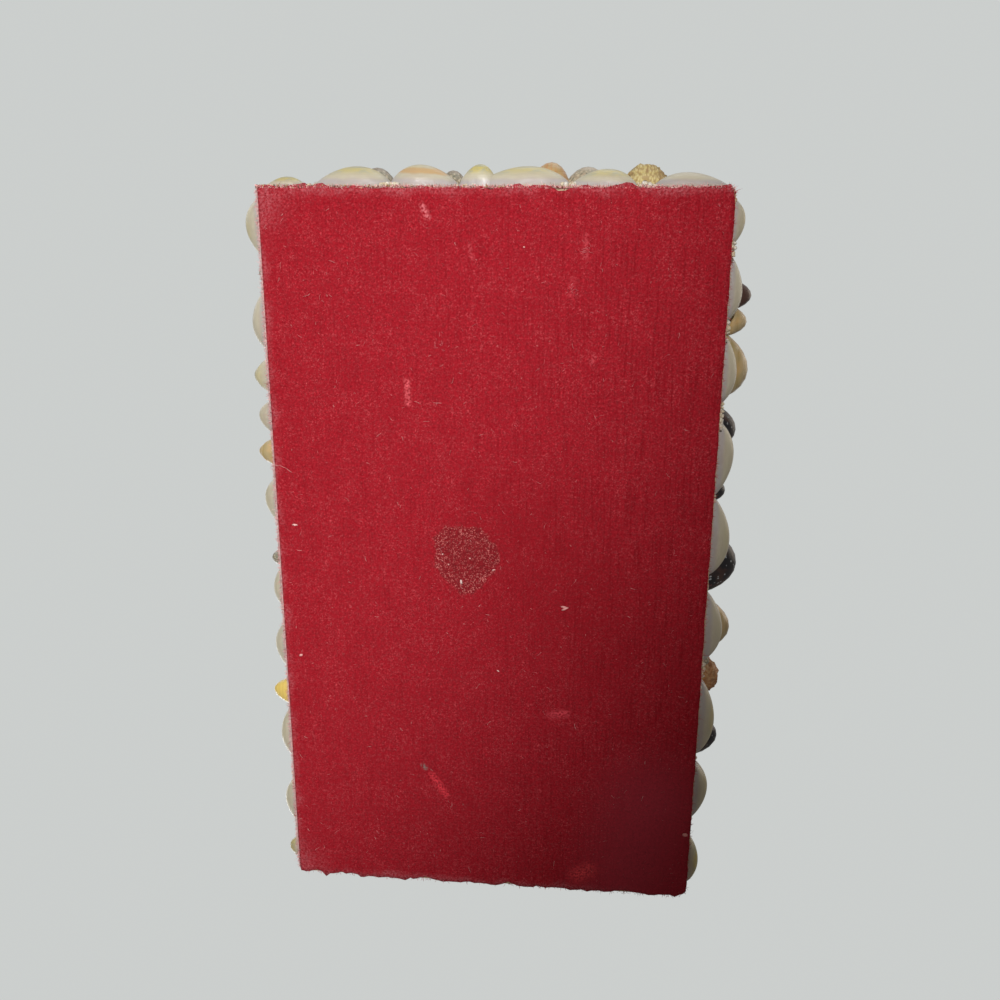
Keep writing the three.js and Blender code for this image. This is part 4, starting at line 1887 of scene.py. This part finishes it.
@dataclass
class BaseRow:
    """The row of large shells along the foot of one wall, each in the place that the frame gives it.

    Turned lists the shells that lie with their wide end to the left, longer the ones that run on to the left
    past their neighbour, with how far in millimetres, and lifted the ones that stand higher on the wall.
    """

    side: Side
    looks: tuple[tuple[Shell, Finish, Colour], ...]
    turned: tuple[int, ...]
    longer: dict[int, float]
    lifted: dict[int, float]
    foot: float = 1.2 * MM
    overlap: float = 1.15

    def build(self) -> list[Piece]:
        """Builds the row.

        Returns:
            The row, which is one piece.
        """
        draw = random.Random(int(self.side.value) + 3)
        row = Cluster(f"{self.side.label}_base_shells")
        nodes = []
        for number, (shell, finish, tint) in enumerate(self.looks, start=1):
            node = f"{self.side.label}_base_shell_{number}"
            low, high = self.side.room(node)
            more = self.longer.get(number, 0.0) * MM
            rise = self.lifted.get(number, 0.0) * MM
            middle = Vector(((low.x + high.x - more) / 2, (low.y + high.y) / 2 + rise, low.z + self.foot))
            flip = math.pi if number in self.turned else 0.0
            length = (high.x - low.x) * self.overlap + more
            size = Vector((length, high.y - low.y, high.z - low.z - self.foot))
            spot = Spot(shell, finish, middle, size, tint, flip, (0.0, draw.uniform(-0.03, 0.03)))
            row.lay(shell.mould(), self.side.frame() @ spot.place(), finish.material(), tint)
            nodes.append(node)
        return [declare(row.make(), "glossy_shell", *nodes)]


@dataclass
class GluePanel:
    """A slab of sandy glue with a lumpy face, in a bed's own frame."""

    low: Vector
    high: Vector
    cell: float = 2.2 * MM
    lumps: float = 1.5 * MM

    def mould(self, name: str) -> Mould:
        """Models the slab.

        Args:
            name: The name of the bed that it is for.

        Returns:
            The slab, which keeps its place.
        """
        size = self.high - self.low
        middle = (self.low + self.high) / 2
        slab = Bench.grid(name, size, self.cell, (middle.x, middle.y, self.high.z))
        inner = slab.vertex_groups.new(name="face")
        for vertex in slab.data.vertices:
            to_side = size.x / 2 - abs(vertex.co.x - middle.x)
            to_end = size.y / 2 - abs(vertex.co.y - middle.y)
            inner.add([vertex.index], min(1.0, min(to_side, to_end) / (3 * MM)), "REPLACE")
        how = {"strength": self.lumps, "mid_level": 0.5, "direction": "Z", "vertex_group": "face"}
        Bench.modify(slab, "DISPLACE", texture=clouds(f"{name}_lumps", 4.5 * MM), **how)
        with Bench.shaping(slab):
            bpy.ops.mesh.select_all(action="SELECT")
            bpy.ops.mesh.extrude_region_move()
            bpy.ops.transform.resize(value=(1.0, 1.0, 0.0), center_override=(0, 0, self.low.z))
        return Mould.of(slab, fit=False)


@dataclass
class WallBed:
    """The glue on one wall with the two upper rows of shells and the grit between all of them.

    Each listed shell is its look and tint, then the middle along the wall, the height of its middle, its
    length, width and how far it stands out of the glue, in millimetres. Lumps are the places along the wall,
    in millimetres, of the clots of sand under the base row.
    """

    side: Side
    listed: tuple[tuple[Look, Colour, float, float, float, float, float], ...]
    base_count: int
    seed: int
    lumps: tuple[float, ...] = ()
    glue: float = 2.0 * MM
    sunk: float = 0.8 * MM
    grain_count: int = 5200
    ledge_count: int = 900
    lump_count: int = 26
    fill_height: float = 7.4 * MM
    proud: float = 2.0 * MM
    upper_row: float = 27 * MM
    large: tuple[float, ...] = (17 * MM, 15 * MM, 13 * MM, 11 * MM)
    small: tuple[float, ...] = (8.5 * MM, 6.5 * MM, 5 * MM)

    def build(self) -> list[Piece]:
        """Builds the bed.

        Returns:
            The bed, which is one piece.
        """
        node = f"{self.side.label}_shell_bed"
        low, high = self.side.room(node)
        wall = self.side.room(f"{self.side.label}_wall")
        face = wall[1].z + self.glue
        slab = (Vector((low.x, low.y, wall[1].z)), Vector((high.x, high.y, face)))
        plan = Layout(low, high, face, random.Random(self.seed))
        self._keep_base_row(plan)
        for look, tint, x, y, length, width, height in self.listed:
            middle = Vector((x * MM, y * MM, face - self.sunk))
            size = Vector((length, width, height)) * MM + Vector((0.0, 0.0, self.sunk))
            plan.set(Spot(look.shell, look.finish, middle, size, tint))
        listed = plan.spots
        plan.spots = []
        plan.fill(MIXED, self.large, 420, foot=self.upper_row)
        plan.fill(SMALL_MIXED, self.small, 600)
        bed = Cluster(f"{self.side.label}_shells_in_glue")
        frame_of_side = self.side.frame()
        bed.lay(GluePanel(*slab).mould(bed.name), frame_of_side, Finish.GLUE.material(), (0.0, 0.0, 0.0))
        for spots, limit in ((listed, high.z + self.proud), (plan.spots, face + self.fill_height)):
            for spot in spots:
                kept = self._kept_in(spot, limit)
                bed.lay(kept.shell.mould(), frame_of_side @ kept.place(), kept.finish.material(), kept.tint)
        self._sprinkle(bed, plan, face)
        return [declare(bed.make(), "shells_in_sandy_glue", node)]

    def _keep_base_row(self, plan: Layout) -> None:
        """Marks the base row's shells as taken, so that nothing is set in them.

        Args:
            plan: The bed's plan.
        """
        for number in range(1, self.base_count + 1):
            low, high = self.side.room(f"{self.side.label}_base_shell_{number}")
            middle = (low + high) / 2
            held = Spot(Shell.FULL_COWRIE, Finish.COWRIE, middle, (high - low) * 0.94, (0.0, 0.0, 0.0))
            plan.taken = np.concatenate((plan.taken, held.discs()))

    @staticmethod
    def _kept_in(spot: Spot, limit: float) -> Spot:
        """Draws a shell in where it would stand too far out.

        Args:
            spot: The shell.
            limit: How far out it may stand in the side's frame, in metres.

        Returns:
            The same shell, or a lower one.
        """
        room = limit - spot.middle.z
        if spot.size.z <= room:
            return spot
        size = Vector((spot.size.x, spot.size.y, room))
        return Spot(spot.shell, spot.finish, spot.middle, size, spot.tint, spot.turn)

    def _sprinkle(self, bed: Cluster, plan: Layout, face: float) -> None:
        """Lays the grit between the shells, in clots and along the ledge under the base row.

        Args:
            bed: The bed's pieces so far.
            plan: Its plan.
            face: How far out its glue is, in metres.
        """
        grain = GrainModel().mould()
        grit = Finish.GRIT.material()
        draw = plan.draw
        side = self.side.frame()
        for place in plan.grains(self.grain_count, (0.5 * MM, 1.05 * MM), 0.86):
            bed.lay(grain, side @ place, grit, (draw.random(), draw.random(), draw.random()))
        ledge = self.side.room("bottom_board")[1]
        for x in self.lumps:
            for _ in range(self.lump_count):
                radius = draw.uniform(0.45, 0.85) * MM
                middle = Vector((x * MM + draw.gauss(0, 1.3 * MM), ledge.y + draw.uniform(-1.6, 2.2) * MM, 0))
                middle.z = ledge.z + draw.uniform(0.1, 0.9) * MM
                tint = (draw.random() * 0.5, draw.uniform(0.3, 1.0), draw.random())
                bed.lay(grain, side @ grain_place(draw, middle, radius), grit, tint)
        for _ in range(self.ledge_count):
            x = draw.uniform(plan.low.x, plan.high.x)
            radius = draw.uniform(0.5, 1.1) * MM
            up = plan.low.y + radius * draw.uniform(0.5, 2.6)
            out = draw.uniform(face, ledge.z + 0.5 * MM)
            if plan.fits(np.array([(x, up + 6 * MM, radius)]), 0.8):
                place = grain_place(draw, Vector((x, up, out)), radius)
                bed.lay(grain, side @ place, grit, (draw.random(), draw.random(), draw.random()))


@dataclass
class LidBed:
    """The glue on the lid: a border of cowries, a close field of small shells, and a scallop amid it."""

    node: str = "lid_shell_bed"
    scallop_node: str = "lid_scallop"
    glue: float = 2.0 * MM
    along: int = 11
    across: int = 6
    border: Vector = field(default_factory=lambda: Vector((19.0, 12.5, 8.0)) * MM)
    sunk: float = 0.5 * MM
    grain_count: int = 2900
    large: tuple[float, ...] = (16 * MM, 14 * MM, 12 * MM, 10 * MM)
    small: tuple[float, ...] = (8 * MM, 6.5 * MM, 5 * MM)

    def build(self) -> list[Piece]:
        """Builds the bed and the scallop.

        Returns:
            The bed and the scallop.
        """
        low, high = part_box(self.node)
        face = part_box("lid_board")[1].z + self.glue
        plan = Layout(low, high, face, random.Random(41))
        scallop_low, scallop_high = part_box(self.scallop_node)
        radius = (scallop_high.y - scallop_low.y) * 0.44
        middle = (scallop_low + scallop_high) / 2
        plan.taken = np.array([(middle.x, middle.y, radius)])
        self._set_border(plan, low, high, face)
        plan.fill(MIXED, self.large, 900, embed=0.08)
        plan.fill(SMALL_MIXED, self.small, 900, embed=0.08)
        bed = Cluster("lid_shells_in_glue")
        slab = GluePanel(Vector((low.x, low.y, face - self.glue)), Vector((high.x, high.y, face)))
        bed.lay(slab.mould(bed.name), Matrix.Identity(4), Finish.GLUE.material(), (0.0, 0.0, 0.0))
        for spot in plan.spots:
            bed.lay(spot.shell.mould(), spot.place(), spot.finish.material(), spot.tint)
        grain = GrainModel().mould()
        for place in plan.grains(self.grain_count, (0.55 * MM, 1.2 * MM), 0.86):
            tint = (plan.draw.random(), plan.draw.random(), plan.draw.random())
            bed.lay(grain, place, Finish.GRIT.material(), tint)
        piece = declare(bed.make(), "shells_in_sandy_glue", self.node)
        return [piece, self._scallop(scallop_low, scallop_high)]

    def _set_border(self, plan: Layout, low: Vector, high: Vector, face: float) -> None:
        """Sets cowries end to end round the edge of the lid.

        Args:
            plan: The bed's plan.
            low: The lowest corner of its box.
            high: The highest corner.
            face: The height of its glue, in metres.
        """
        inset = self.border.y / 2 + 0.5 * MM
        left, right, first_x, last_x = low.x + inset, high.x - inset, low.x + 14 * MM, high.x - 14 * MM
        bottom, top, first_y, last_y = low.y + inset, high.y - inset, low.y + 12 * MM, high.y - 12 * MM
        for count, start, end, turn in (
            (self.along, (left, first_y), (left, last_y), 90),
            (self.along, (right, first_y), (right, last_y), 90),
            (self.across, (first_x, bottom), (last_x, bottom), 0),
            (self.across, (first_x, top), (last_x, top), 0),
        ):
            for number in range(count):
                middle = Vector((*start, 0)).lerp(Vector((*end, 0)), number / (count - 1))
                middle.z = face - self.sunk
                size = self.border * plan.draw.uniform(0.92, 1.06)
                look = (PALE_COWRIE, YELLOW_COWRIE, PALE_COWRIE, RINGED_COWRIE)[number % 4]
                angle = math.radians(turn + plan.draw.uniform(-6, 6) + plan.draw.choice((0, 180)))
                plan.set(Spot(look.shell, look.finish, middle, size, look.tint(plan.draw), angle))

    def _scallop(self, low: Vector, high: Vector) -> Piece:
        """Builds the scallop that stands for its node.

        Args:
            low: The lowest corner of the node's box.
            high: The highest corner.

        Returns:
            The scallop.
        """
        middle = Vector(((low.x + high.x) / 2, (low.y + high.y) / 2, low.z))
        spot = Spot(Shell.SCALLOP, Finish.RIBBED, middle, high - low, (0.35, 0.5, 0.5))
        single = Cluster("lid_scallop_shell")
        single.lay(spot.shell.mould(), spot.place(), spot.finish.material(), spot.tint)
        return declare(single.make(), "scallop_shell", self.scallop_node)


@dataclass
class Studio:
    """The camera under the box, the lights, the pale surroundings and the floor.

    The key light under the box has a wide soft-edged cone that leaves one corner of the felt in the dark.
    """

    lens: float = 32.9
    camera_place: Vector = field(default_factory=lambda: Vector((-27.2, 96.5, -257.9)) * MM)
    right: Vector = field(default_factory=lambda: Vector((-0.9955, 0.0052, 0.0946)))
    up: Vector = field(default_factory=lambda: Vector((0.0308, 0.9621, 0.2708)))
    key_place: Vector = field(default_factory=lambda: Vector((0.0, 0.5, -1.2)))
    key_aim: Vector = field(default_factory=lambda: Vector((0.4, 0.242, 0.0)))
    key_power: float = 70.0
    cone: float = 0.882
    soft_edge: float = 0.424

    def build(self) -> None:
        """Builds the whole studio."""
        self._camera()
        self._surroundings()
        self._floor()
        cone = {"spot_size": self.cone, "spot_blend": self.soft_edge, "shadow_soft_size": 0.03}
        self._light("key_below", "SPOT", self.key_place, self.key_aim, energy=self.key_power, **cone)
        for name, aim, angle, strength in (
            ("soft_sun", (-0.5, 0.75, -1.0), 60.0, 1.75),
            ("soft_sky", (0.2, -0.4, -1.0), 100.0, 0.8),
        ):
            self._light(name, "SUN", Vector(), Vector(aim), angle=math.radians(angle), energy=strength)
        white, warm = (1.0, 1.0, 1.0), (1.0, 0.84, 0.66)
        middle = Vector((0.0, 0.0, 0.03))
        for name, place, power, colour in (
            ("soft_front", (0.45, -0.75, 0.45), 2.2, white),
            ("soft_left", (-0.8, 0.15, 0.5), 1.15, warm),
            ("soft_right", (0.8, 0.35, 0.5), 1.5, white),
            ("soft_back", (-0.1, 0.9, 0.5), 1.3, white),
        ):
            look = {"color": colour, "shape": "DISK", "size": 0.6, "energy": power}
            self._light(name, "AREA", Vector(place), middle, **look)
        bpy.context.scene.view_settings.view_transform = "Standard"

    def _camera(self) -> None:
        """The camera below the box, looking up at the felt."""
        view = bpy.data.cameras.new("view")
        view.lens = self.lens
        view.sensor_width = 36.0
        view.clip_start = 0.005
        camera = bpy.data.objects.new("view", view)
        bpy.context.scene.collection.objects.link(camera)
        right = self.right.normalized()
        behind = right.cross(self.up).normalized()
        turn = Matrix((right, behind.cross(right), behind)).transposed().to_4x4()
        camera.matrix_world = Matrix.Translation(self.camera_place) @ turn
        bpy.context.scene.camera = camera

    @staticmethod
    def _light(name: str, kind: str, place: Vector, aim: Vector, **settings: Any) -> None:
        """Adds one light.

        Args:
            name: The light's name.
            kind: Its type.
            place: Where it stands.
            aim: The point that it faces.
            settings: The properties of its lamp.
        """
        lamp = bpy.data.lights.new(name, kind)
        for setting, value in settings.items():
            setattr(lamp, setting, value)
        light = bpy.data.objects.new(name, lamp)
        bpy.context.scene.collection.objects.link(light)
        light.location = place
        light.rotation_euler = (aim - place).to_track_quat("-Z", "Y").to_euler()

    @staticmethod
    def _surroundings() -> None:
        """Pale surroundings to look at, which give little light of their own."""
        world = bpy.data.worlds.new("surroundings")
        world.use_nodes = True
        tree = world.node_tree
        tree.nodes.clear()
        seen = tree.nodes.new("ShaderNodeLightPath")
        pale, dim, mirrored = (tree.nodes.new("ShaderNodeBackground") for _ in range(3))
        pale.inputs["Color"].default_value = (0.60, 0.62, 0.61, 1.0)
        dim.inputs["Color"].default_value = (0.11, 0.10, 0.09, 1.0)
        mirrored.inputs["Color"].default_value = (0.17, 0.16, 0.15, 1.0)
        gloss, mix = (tree.nodes.new("ShaderNodeMixShader") for _ in range(2))
        out = tree.nodes.new("ShaderNodeOutputWorld")
        for source, target in (
            (seen.outputs["Is Glossy Ray"], gloss.inputs[0]),
            (dim.outputs[0], gloss.inputs[1]),
            (mirrored.outputs[0], gloss.inputs[2]),
            (seen.outputs["Is Camera Ray"], mix.inputs[0]),
            (gloss.outputs[0], mix.inputs[1]),
            (pale.outputs[0], mix.inputs[2]),
            (mix.outputs[0], out.inputs["Surface"]),
        ):
            tree.links.new(source, target)
        bpy.context.scene.world = world

    @staticmethod
    def _floor() -> None:
        """A pale floor under the box that is seen only from above and shades nothing below it."""
        bpy.ops.mesh.primitive_plane_add(size=30.0, location=(0, 0, -0.0006))
        floor = Bench.settle(bpy.context.object, "floor")
        recipe = Recipe("pale_floor", {"Base Color": (0.62, 0.62, 0.61, 1.0), "Roughness": 0.8})
        below = recipe.node("ShaderNodeNewGeometry", {}, {}).outputs["Backfacing"]
        clear = recipe.node("ShaderNodeBsdfTransparent", {}, {}).outputs[0]
        shade = recipe.node("ShaderNodeMixShader", {}, {0: below, 1: recipe.shader.outputs[0], 2: clear})
        recipe.tree.links.new(shade.outputs[0], recipe.output.inputs["Surface"])
        floor.data.materials.append(recipe.material)
        floor.visible_shadow = False
        floor.visible_diffuse = False
        floor.visible_glossy = False


def base_rows() -> list[BaseRow]:
    """The four rows at the foot of the walls, from left to right as seen from outside.

    Returns:
        One row for each wall.
    """
    full, money, clam = Shell.FULL_COWRIE, Shell.MONEY_COWRIE, Shell.CLAM
    glaze, thin = Finish.COWRIE, Finish.CLAM
    rows = {
        Side.FRONT: (
            (full, glaze, (0.9, 0.0, 0.6)), (money, glaze, (0.2, 0.0, 0.4)), (full, glaze, (0.1, 0.9, 0.4)),
            (full, glaze, (0.8, 0.0, 0.5)), (money, glaze, (0.1, 0.0, 0.3)), (full, glaze, (0.9, 0.2, 0.7)),
        ),
        Side.RIGHT: (
            (full, glaze, (1.0, 0.0, 0.9)), (full, glaze, (0.3, 0.0, 0.5)), (full, glaze, (0.25, 0.0, 0.5)),
            (full, thin, (0.85, 0.0, 1.0)), (full, glaze, (0.1, 0.0, 0.4)), (money, glaze, (0.1, 0.0, 0.4)),
            (full, glaze, (0.2, 0.0, 0.5)), (clam, thin, (0.9, 0.0, 0.5)), (full, glaze, (0.1, 0.0, 0.4)),
            (clam, glaze, (0.4, 0.0, 0.9)), (full, glaze, (0.0, 0.0, 0.3)), (full, glaze, (0.35, 0.0, 0.5)),
        ),
        Side.BACK: (
            (full, glaze, (1.0, 0.0, 0.6)), (full, glaze, (0.8, 0.0, 0.45)), (full, glaze, (0.3, 0.9, 0.55)),
            (full, glaze, (1.0, 0.0, 0.6)), (full, glaze, (0.7, 0.0, 0.45)), (full, glaze, (0.7, 0.0, 0.7)),
            (full, glaze, (0.0, 0.0, 0.0)),
        ),
        Side.LEFT: (
            (full, glaze, (0.3, 0.0, 0.5)), (full, glaze, (0.05, 0.0, 0.3)), (full, glaze, (0.05, 0.0, 0.5)),
            (full, glaze, (0.1, 0.0, 0.4)), (full, glaze, (0.2, 0.0, 0.6)), (full, glaze, (0.1, 0.0, 0.4)),
            (full, glaze, (0.55, 0.0, 0.4)), (full, glaze, (0.35, 0.0, 0.5)), (full, glaze, (1.0, 0.0, 0.9)),
        ),
    }
    turned = {Side.FRONT: (2, 4), Side.RIGHT: (3, 6, 11), Side.BACK: (3, 7), Side.LEFT: (1, 4, 8)}
    longer = {Side.BACK: {5: 7.0}, Side.RIGHT: {10: 1.5}}
    lifted = {Side.BACK: {4: 2.0}}
    return [
        BaseRow(side, looks, turned[side], longer.get(side, {}), lifted.get(side, {}))
        for side, looks in rows.items()
    ]


def wall_beds() -> list[WallBed]:
    """The beds of the four walls, with the shells of the second row that look out past the base row.

    Returns:
        One bed for each wall.
    """
    left = (
        (BLACK_DOME, (0.0, 1.0, 0.5), -81.8, 22.5, 11.5, 11.0, 11.8),
        (TAN_DOME, (0.95, 0.1, 0.5), -74.6, 23.5, 12.5, 12.0, 11.2),
        (TAN_DOME, (1.0, 0.0, 0.5), -61.0, 23.5, 24.0, 15.0, 12.6),
        (BLACK_DOME, (0.6, 0.0, 0.5), -42.0, 22.5, 16.0, 13.0, 10.2),
        (BLACK_DOME, (0.1, 0.0, 0.5), -22.5, 22.5, 10.0, 10.0, 8.4),
        (BLACK_DOME, (1.0, 0.3, 0.5), 0.6, 22.0, 22.0, 16.0, 13.4),
        (TAN_DOME, (1.0, 0.0, 0.5), 22.6, 23.5, 21.0, 15.0, 13.1),
        (ROUGH_DOME, (1.0, 0.9, 0.5), 40.5, 22.0, 17.0, 13.0, 10.6),
        (BLACK_DOME, (0.7, 0.1, 0.5), 62.3, 22.5, 16.0, 13.5, 11.6),
        (PALE_COWRIE, (0.2, 0.0, 0.4), -98.0, 24.0, 17.0, 12.0, 6.4),
        (YELLOW_COWRIE, (0.9, 0.0, 0.5), 80.5, 24.0, 17.0, 13.0, 6.4),
        (PALE_CLAM, (0.3, 0.1, 0.5), 98.0, 24.0, 15.0, 14.0, 6.0),
    )
    right = (
        (PALE_COWRIE, (0.2, 0.0, 0.4), -95.0, 24.0, 18.0, 12.5, 6.4),
        (ROSY_SNAIL, (0.8, 0.4, 0.5), -72.0, 24.0, 14.0, 13.0, 6.0),
        (YELLOW_COWRIE, (1.0, 0.0, 0.9), -48.5, 24.0, 15.0, 12.0, 6.4),
        (PLAIN_NERITE, (0.1, 0.4, 0.5), -22.0, 26.5, 13.0, 12.0, 6.4),
        (SPECKLED_DOME, (0.2, 0.1, 0.5), -5.6, 22.5, 9.5, 8.0, 12.4),
        (TAN_CLAM, (0.7, 0.1, 0.5), 30.0, 25.0, 18.0, 15.0, 6.4),
        (CREAM_COCKLE, (0.2, 0.1, 0.5), 60.0, 26.0, 17.0, 15.0, 6.4),
        (RINGED_COWRIE, (0.2, 0.9, 0.4), 88.0, 24.0, 19.0, 13.0, 6.4),
    )
    back = (
        (SPECKLED_DOME, (0.1, 0.3, 0.5), -36.0, 22.0, 14.0, 12.0, 8.6),
        (SPECKLED_DOME, (0.1, 0.3, 0.5), -13.4, 22.0, 10.5, 11.0, 7.8),
        (TAN_DOME, (1.0, 0.7, 0.5), 14.6, 22.0, 15.0, 12.0, 10.0),
        (SPECKLED_DOME, (0.5, 0.3, 0.5), 25.6, 22.5, 15.0, 11.5, 8.8),
        (ROUGH_DOME, (0.05, 1.0, 1.0), 42.4, 22.5, 16.0, 12.0, 9.6),
        (PALE_COWRIE, (0.2, 0.0, 0.4), -52.0, 24.5, 16.0, 12.5, 5.6),
        (PALE_CLAM, (0.2, 0.1, 0.5), 0.5, 26.0, 13.0, 11.5, 5.4),
        (PALE_COWRIE, (0.1, 0.0, 0.4), 55.0, 26.0, 14.0, 11.0, 5.4),
    )
    front = (
        (YELLOW_COWRIE, (0.9, 0.0, 0.6), -48.0, 24.5, 19.0, 13.0, 8.5),
        (TAN_CLAM, (0.8, 0.2, 0.5), -28.0, 24.5, 17.0, 14.0, 7.5),
        (BLACK_NERITE, (0.9, 0.4, 0.5), -10.0, 25.0, 14.0, 13.0, 9.5),
        (RINGED_COWRIE, (0.2, 0.9, 0.4), 9.0, 24.5, 19.0, 13.0, 8.5),
        (RUSTY_COCKLE, (0.9, 0.2, 0.5), 29.0, 24.5, 16.0, 15.0, 8.0),
        (PALE_COWRIE, (0.1, 0.0, 0.4), 49.0, 24.5, 19.0, 13.0, 8.5),
    )
    return [
        WallBed(Side.FRONT, front, 6, 21),
        WallBed(Side.RIGHT, right, 12, 22, (-77.0, 5.0), grain_count=8500),
        WallBed(Side.BACK, back, 7, 23, (-28.6, 21.2, 42.0)),
        WallBed(Side.LEFT, left, 9, 24, (-94.3, -73.3, -49.6, -47.6, 30.5), grain_count=8500),
    ]


def main() -> None:
    """Builds the box from its base up, with a line in the log for each piece, and then the studio."""
    logging.basicConfig(level=logging.INFO, format="%(name)s: %(message)s")
    Bench.clear()
    for part in (BaseFelt(), Carcass(), Linings(), *base_rows(), *wall_beds(), LidBed()):
        for piece in part.build():
            report(piece)
    Studio().build()


if __name__ == "__main__":
    main()
